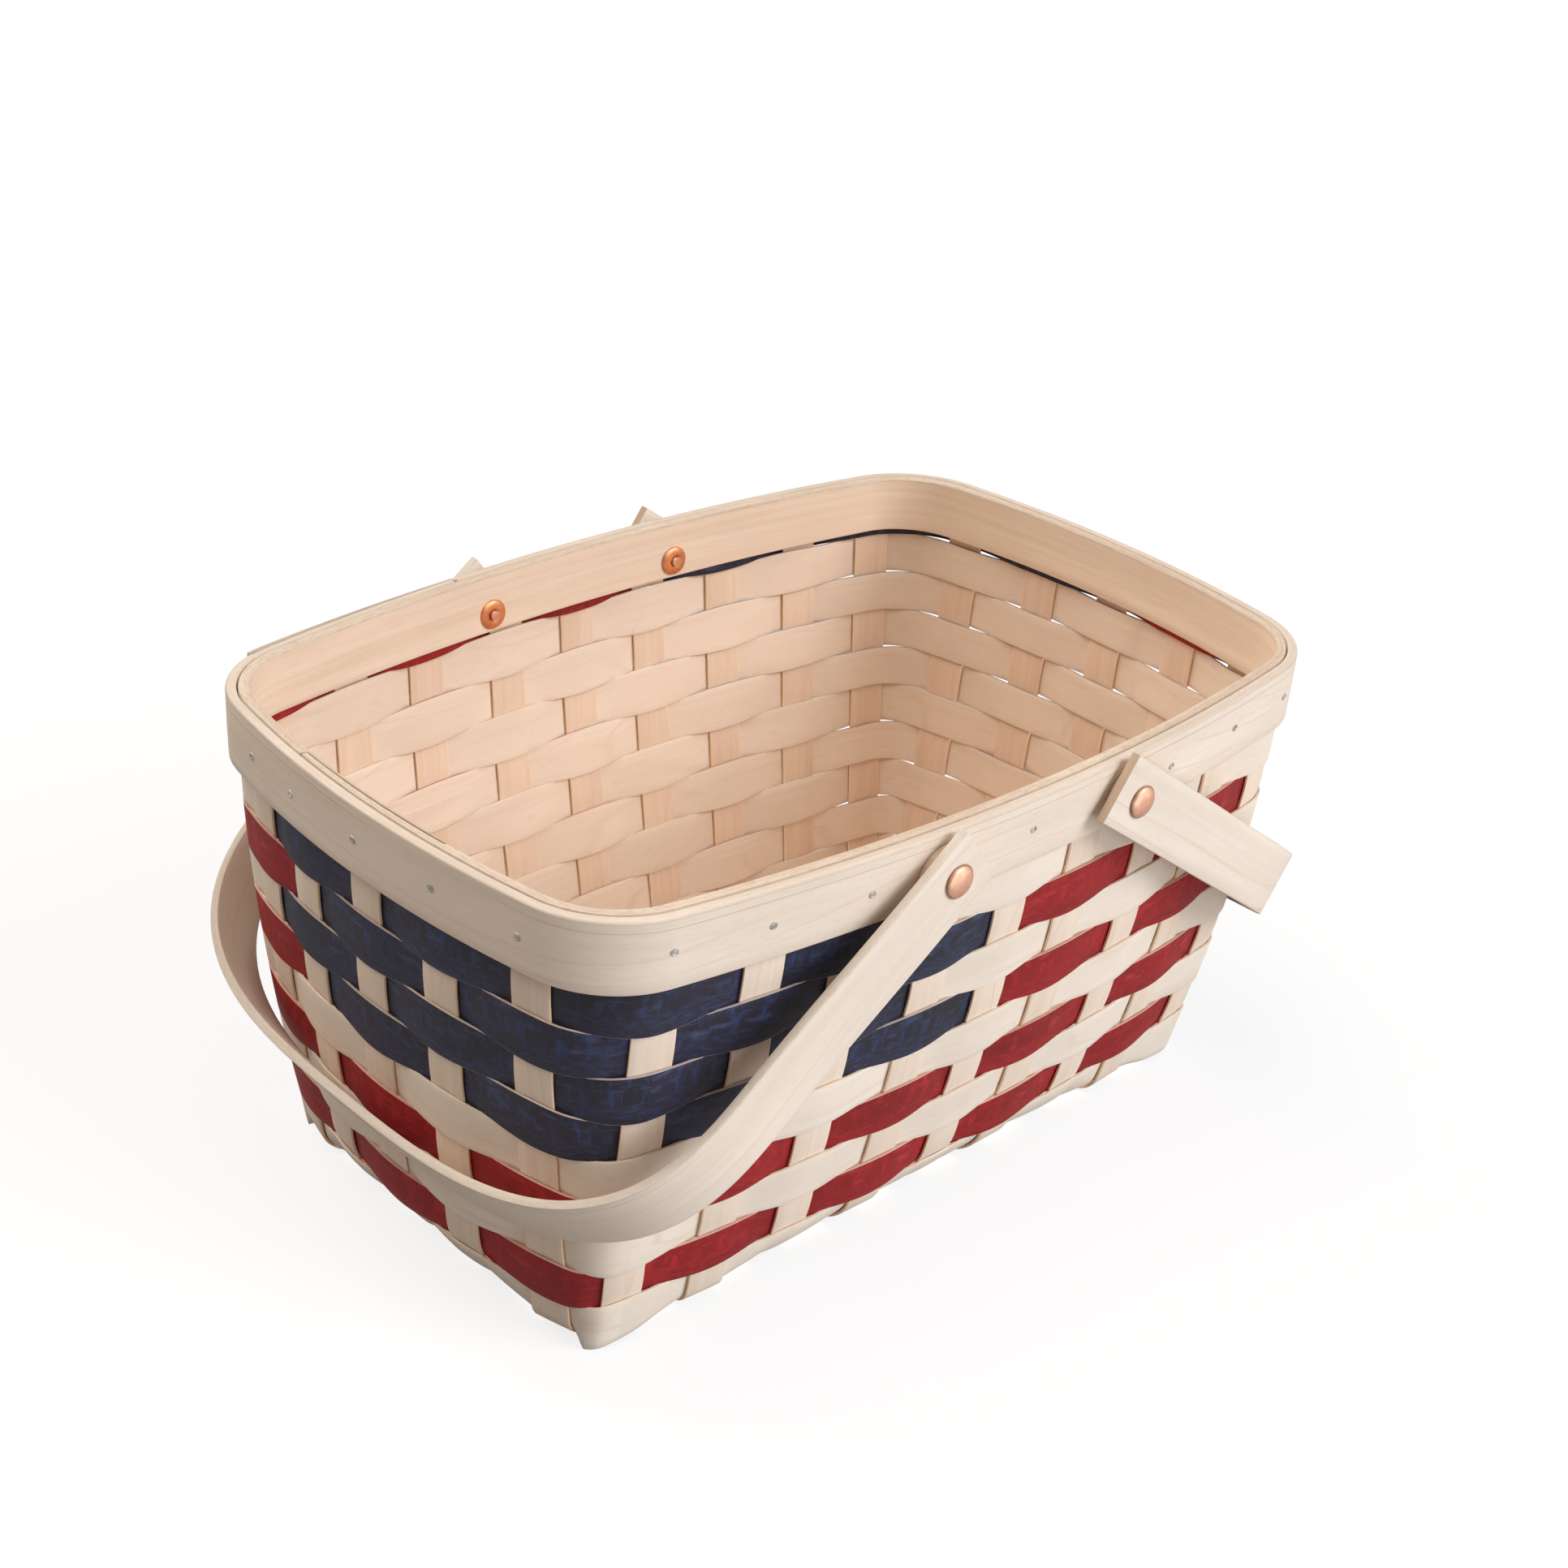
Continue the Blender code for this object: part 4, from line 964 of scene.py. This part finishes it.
def splint_finish(name, pale, dark, fleck, line=None, sheen=0.35, relief=0.2, fineness=1.0,
                  flecks=0.35, clouds=0.93, lines=0.3, line_depth_below_top=None, blot=None, blots=0.9):
    """A splint's finish: grain between pale and dark, fine flecks, growth lines and slow clouds.

    line is the colour of the growth lines.  blot is the colour of small blots, where a stain took
    unevenly or the wood is rough.  flecks, lines and blots say how strongly each shows.  clouds is
    how dark the clouds are, and the line depth, if given, is how far below a band's top edge a
    thin broken dark line runs.
    """
    material, tree, shader = new_finish(name)
    place = new_node(tree, "UVMap", {}, uv_map="UVMap").outputs["UV"]
    fibre = new_node(tree, "Group", {"Place": place, "Fineness": fineness},
                     node_tree=FIBRE).outputs
    base = ramp(tree, fibre["Streak"], (0.30, dark), (0.66, pale))
    base = mixed(tree, spread(tree, fibre["Fibre"], 0.55, 0.72, 0.0, flecks), base, fleck)
    if blot:
        base = mixed(tree, spread(tree, fibre["Mottle"], 0.49, 0.63, 0.0, blots), base, blot)
    if line:
        base = mixed(tree, maths(tree, "MULTIPLY", fibre["Line"], lines), base, line)
    shade = (clouds, clouds * 0.99, clouds * 0.98)
    figure = ramp(tree, fibre["Figure"], (0.32, shade), (0.62, WHITE))
    base = mixed(tree, 1.0, base, figure, "MULTIPLY")
    if line_depth_below_top:
        base = dark_line_below_top(tree, place, fibre, line_depth_below_top, base)
    feed(tree, shader, {"Base Color": base, "Specular IOR Level": sheen,
                        "Roughness": spread(tree, fibre["Streak"], 0.3, 0.7, 0.55, 0.70),
                        "Normal": bump(tree, fibre["Height"], relief, 0.0003)})
    return material


def metal_finish(name, colour, dull, roughness):
    """Dull hammered metal: cloudy tarnish and a slight unevenness."""
    material, tree, shader = new_finish(name)
    place = new_node(tree, "TexCoord", {}).outputs["Object"]
    cloud = new_node(tree, "TexNoise", {"Vector": place, "Scale": 260.0, "Detail": 4.0})
    cloud = cloud.outputs["Fac"]
    feed(tree, shader, {"Metallic": 0.85,
                        "Base Color": ramp(tree, cloud, (0.35, dull), (0.62, colour)),
                        "Roughness": spread(tree, cloud, 0.3, 0.7, roughness + 0.1, roughness),
                        "Normal": bump(tree, cloud, 0.15, 0.0004)})
    return material


# Colours are linear.
WHITE = (1.0, 1.0, 1.0)
GROWTH = (0.67, 0.47, 0.38)
# A thin broken dark line below the outer band's top edge: its colour and how far its depth wavers.
BELOW_TOP_LINE_COLOUR = (0.46, 0.27, 0.17)
BELOW_TOP_LINE_WAVER = 0.0022
FIBRE = fibre_group()
# The natural tone comes in two copies: paler and whiter on the outer faces, warmer and darker on
# the inner faces.  The difference is painted light: the lit outside and the warm shade bounced
# round the inside.
NATURAL = splint_finish(
    "natural_splint", (0.91, 0.82, 0.725), (0.865, 0.765, 0.655), (0.80, 0.67, 0.54), GROWTH,
    blot=(0.83, 0.72, 0.60), blots=0.3)
# Inner faces: warmer and darker, painted warm shade of the basket's inside.
NATURAL_INSIDE_PAINTED_WARM_SHADE = splint_finish(
    "natural_splint_inner_face_painted_warm_shade", (0.872, 0.728, 0.60), (0.825, 0.665, 0.53), (0.73, 0.56, 0.41),
    GROWTH)
UPRIGHT = splint_finish(
    "upright_splint", (0.885, 0.755, 0.64), (0.835, 0.69, 0.565), (0.75, 0.58, 0.45), GROWTH)
# Inner faces of the uprights: warmer and darker than their outer faces, painted warm shade of the
# basket's inside.
UPRIGHT_INSIDE_PAINTED_WARM_SHADE = splint_finish(
    "upright_splint_inner_face_painted_warm_shade", (0.85, 0.655, 0.505), (0.79, 0.585, 0.435), (0.68, 0.47, 0.33),
    GROWTH)
RED = splint_finish(
    "red_stained_splint", (0.335, 0.012, 0.014), (0.205, 0.005, 0.008), (0.56, 0.06, 0.06),
    sheen=0.36, flecks=0.65, clouds=0.82, blot=(0.47, 0.020, 0.029))
NAVY = splint_finish(
    "navy_stained_splint", (0.022, 0.019, 0.044), (0.006, 0.005, 0.012), (0.09, 0.12, 0.26),
    sheen=0.48, flecks=0.6, clouds=0.55, blot=(0.034, 0.058, 0.170))
BARE_EDGE = splint_finish(
    "bare_splint_edge", (0.86, 0.74, 0.61), (0.76, 0.62, 0.48), (0.60, 0.44, 0.32))
# Uprights' side edges: lighter and more orange than their faces, painted warm light bounced into
# the shaded crevice beside each edge.
UPRIGHT_EDGE_PAINTED_BOUNCE = splint_finish(
    "upright_splint_edge_painted_bounce", (0.98, 0.74, 0.52), (0.94, 0.67, 0.45), (0.76, 0.49, 0.32))
RED_EDGE = splint_finish(
    "red_stained_edge", (0.80, 0.60, 0.48), (0.42, 0.13, 0.11), (0.30, 0.05, 0.045), flecks=0.7)
NAVY_EDGE = splint_finish(
    "navy_stained_edge", (0.79, 0.66, 0.55), (0.26, 0.22, 0.24), (0.08, 0.075, 0.11), flecks=0.7)
OUTER_RIM = splint_finish(
    "outer_rim_wood", (0.885, 0.78, 0.68), (0.835, 0.72, 0.60), (0.77, 0.635, 0.515), GROWTH,
    relief=0.12, fineness=0.7, lines=0.4, line_depth_below_top=0.0046, blot=(0.76, 0.63, 0.52), blots=0.35)
INNER_RIM = splint_finish(
    "inner_rim_wood", (0.91, 0.75, 0.60), (0.80, 0.625, 0.475), (0.71, 0.52, 0.38), GROWTH,
    relief=0.12, fineness=0.7, flecks=0.5, lines=0.12)
# Band tops: darker than the band faces, partly their rough fibre and partly painted shade that
# holds back the strong light on these up-facing tops.
OUTER_RIM_TOP_FIBRE_AND_SHADE = splint_finish(
    "outer_rim_top_fibre_and_painted_shade", (0.76, 0.665, 0.575), (0.65, 0.54, 0.435), (0.54, 0.39, 0.28),
    relief=0.9, flecks=0.6, sheen=0.2, blot=(0.68, 0.56, 0.45))
INNER_RIM_TOP_FIBRE_AND_SHADE = splint_finish(
    "inner_rim_top_fibre_and_painted_shade", (0.76, 0.645, 0.53), (0.61, 0.475, 0.36), (0.46, 0.30, 0.20),
    relief=1.0, flecks=0.8, sheen=0.2, blot=(0.56, 0.42, 0.31))
RIM_EDGE = splint_finish(
    "rim_end_grain", (0.66, 0.50, 0.37), (0.52, 0.38, 0.27), (0.36, 0.24, 0.16))
HANDLE = splint_finish(
    "handle_wood", (0.86, 0.765, 0.67), (0.82, 0.715, 0.61), (0.75, 0.63, 0.51), GROWTH,
    relief=0.12, fineness=0.7, lines=0.4, blot=(0.76, 0.65, 0.54), blots=0.3)
HANDLE_EDGE = splint_finish(
    "handle_edge", (0.79, 0.71, 0.61), (0.69, 0.60, 0.50), (0.55, 0.43, 0.33),
    relief=0.3, flecks=0.5, blot=(0.58, 0.49, 0.40), blots=0.55)
COPPER = metal_finish("dull_copper", (0.84, 0.50, 0.35), (0.72, 0.40, 0.28), 0.42)
COPPER_RIM = metal_finish("dark_copper_edge", (0.45, 0.24, 0.18), (0.33, 0.17, 0.12), 0.5)
COPPER_BURR = metal_finish("bright_copper", (0.88, 0.38, 0.18), (0.66, 0.26, 0.12), 0.38)
NAIL = metal_finish("grey_nail", (0.58, 0.57, 0.53), (0.30, 0.29, 0.26), 0.5)
SPLINT_FINISHES = (NATURAL, RED, NAVY, BARE_EDGE, RED_EDGE, NATURAL_INSIDE_PAINTED_WARM_SHADE,
                   UPRIGHT, UPRIGHT_INSIDE_PAINTED_WARM_SHADE, UPRIGHT_EDGE_PAINTED_BOUNCE, NAVY_EDGE)


# ---- Studio ----

# The camera's place, aim, roll in radians, and focal length in pixels of the square photograph.
CAMERA_EYE = (-0.72266, -0.73234, 0.71338)
CAMERA_AIM = (0.07803, 0.07363, 0.10233)
CAMERA_ROLL = 0.0762
FOCAL_PIXELS = 3236.9
PHOTO_PIXELS = 1932
SENSOR_WIDTH = 36.0

# The floor's colour to the camera and as bounced light, its glow, and the light of the world.
FLOOR_SHADE = (0.19, 0.192, 0.195)
FLOOR_BOUNCE = (0.29, 0.275, 0.26)
FLOOR_GLOW = 0.81
FLOOR_IN_GLOSS = 0.28
FLOOR_HALF = 9
WORLD_TINT = (1.0, 0.86, 0.80)
WORLD_LIGHT = 0.13
WORLD_IN_GLOSS = 0.36


def camera():
    """The camera, at the photograph's angle."""
    eye = np.array(CAMERA_EYE)
    look = np.array(CAMERA_AIM) - eye
    look /= np.linalg.norm(look)
    right = np.cross(look, (0.0, 0.0, 1.0))
    right /= np.linalg.norm(right)
    up = np.cross(right, look)
    c, s = math.cos(CAMERA_ROLL), math.sin(CAMERA_ROLL)
    data = bpy.data.cameras.new("camera")
    data.sensor_width = SENSOR_WIDTH
    data.lens = FOCAL_PIXELS / PHOTO_PIXELS * SENSOR_WIDTH
    data.clip_start = 0.01
    data.clip_end = 50.0
    obj = placed("camera", data)
    matrix = np.eye(4)
    matrix[:3] = np.stack([c * right + s * up, c * up - s * right, -look, eye], -1)
    obj.matrix_world = Matrix(matrix.tolist())
    bpy.context.scene.camera = obj


def ray_masks(tree, in_gloss):
    """Two masks: 1 where the camera sees it, and the same with a share where gloss shows it."""
    path = new_node(tree, "LightPath", {}).outputs
    seen = maths(tree, "MAXIMUM", path["Is Camera Ray"], path["Is Transmission Ray"])
    gloss = maths(tree, "MULTIPLY", path["Is Glossy Ray"], in_gloss)
    return seen, maths(tree, "MAXIMUM", seen, gloss)


def floor():
    """A plain white floor, bright to the camera and in gloss, that keeps the shadow."""
    mesh = bpy.data.meshes.new("floor")
    half = FLOOR_HALF
    mesh.from_pydata([(-half, -half, 0), (half, -half, 0), (half, half, 0), (-half, half, 0)],
                     [], [(0, 1, 2, 3)])
    material, tree, shader = new_finish("white_floor")
    seen, bright = ray_masks(tree, FLOOR_IN_GLOSS)
    feed(tree, shader, {"Base Color": mixed(tree, seen, FLOOR_BOUNCE, FLOOR_SHADE),
                        "Roughness": 0.9, "Specular IOR Level": 0.0, "Emission Color": WHITE,
                        "Emission Strength": maths(tree, "MULTIPLY", bright, FLOOR_GLOW)})
    mesh.materials.append(material)
    placed("floor", mesh)


def sun(name, azimuth, height, angle, colour, power):
    """A soft distant lamp: where it stands, in degrees, and how wide it looks."""
    data = bpy.data.lights.new(name, "SUN")
    data.angle = math.radians(angle)
    data.color, data.energy = colour, power
    placed(name, data).rotation_euler = (0.0, math.radians(90 - height), math.radians(azimuth))


def soft_box(name, place, aim, size, colour, power):
    """A rectangular lamp that faces a point; the camera doesn't see it."""
    data = bpy.data.lights.new(name, "AREA")
    data.shape = "RECTANGLE"
    data.size, data.size_y = size
    data.color, data.energy = colour, power
    obj = placed(name, data)
    obj.location = place
    obj.rotation_euler = (Vector(aim) - Vector(place)).to_track_quat("-Z", "Y").to_euler()
    obj.visible_camera = False


def studio():
    """Surroundings white to the camera, a weak warm fill, and soft lamps all round."""
    world = bpy.data.worlds.new("studio")
    bpy.context.scene.world = world
    world.use_nodes = True
    tree = world.node_tree
    seen, bright = ray_masks(tree, WORLD_IN_GLOSS)
    feed(tree, tree.nodes["Background"], {
        "Color": mixed(tree, seen, WORLD_TINT, WHITE),
        "Strength": spread(tree, bright, 0.0, 1.0, WORLD_LIGHT, 1.0)})
    sun("key", -64, 33, 36, (0.96, 0.98, 1.0), 2.2)
    sun("top_lamp", 152, 64, 56, (1.0, 0.90, 0.80), 1.34)
    sun("back_lamp", 102, 30, 40, (1.0, 0.95, 0.88), 1.25)
    soft_box("front_box", (0.14, -0.95, 0.08), (0.05, -0.13, 0.07), (1.5, 0.18),
             (0.97, 0.98, 1.0), 3.3)
    soft_box("overhead_box", (-0.15, -0.08, 0.80), (0.08, 0.05, 0.12), (0.36, 0.4),
             (1.0, 0.99, 0.98), 0.95)


for row in range(ROW_COUNT):
    weave_row(row)
weave_base_and_uprights()
rim_band("outer_rim", "outer_rim_band", OUTER_BAND_HEIGHT, BAND_INSIDE, OUTER_FACE, OUTER_LAP,
         OUTER_LAP_PROUD, (OUTER_RIM, RIM_EDGE, OUTER_RIM_TOP_FIBRE_AND_SHADE))
rim_band("inner_rim", "inner_rim_band", INNER_BAND_HEIGHT, -BAND_INSIDE, INNER_FACE, INNER_LAP,
         0.0, (INNER_RIM, RIM_EDGE, INNER_RIM_TOP_FIBRE_AND_SHADE))
drive_nails()
fit_handles()
camera()
floor()
studio()
bpy.context.scene.view_settings.view_transform = "Standard"
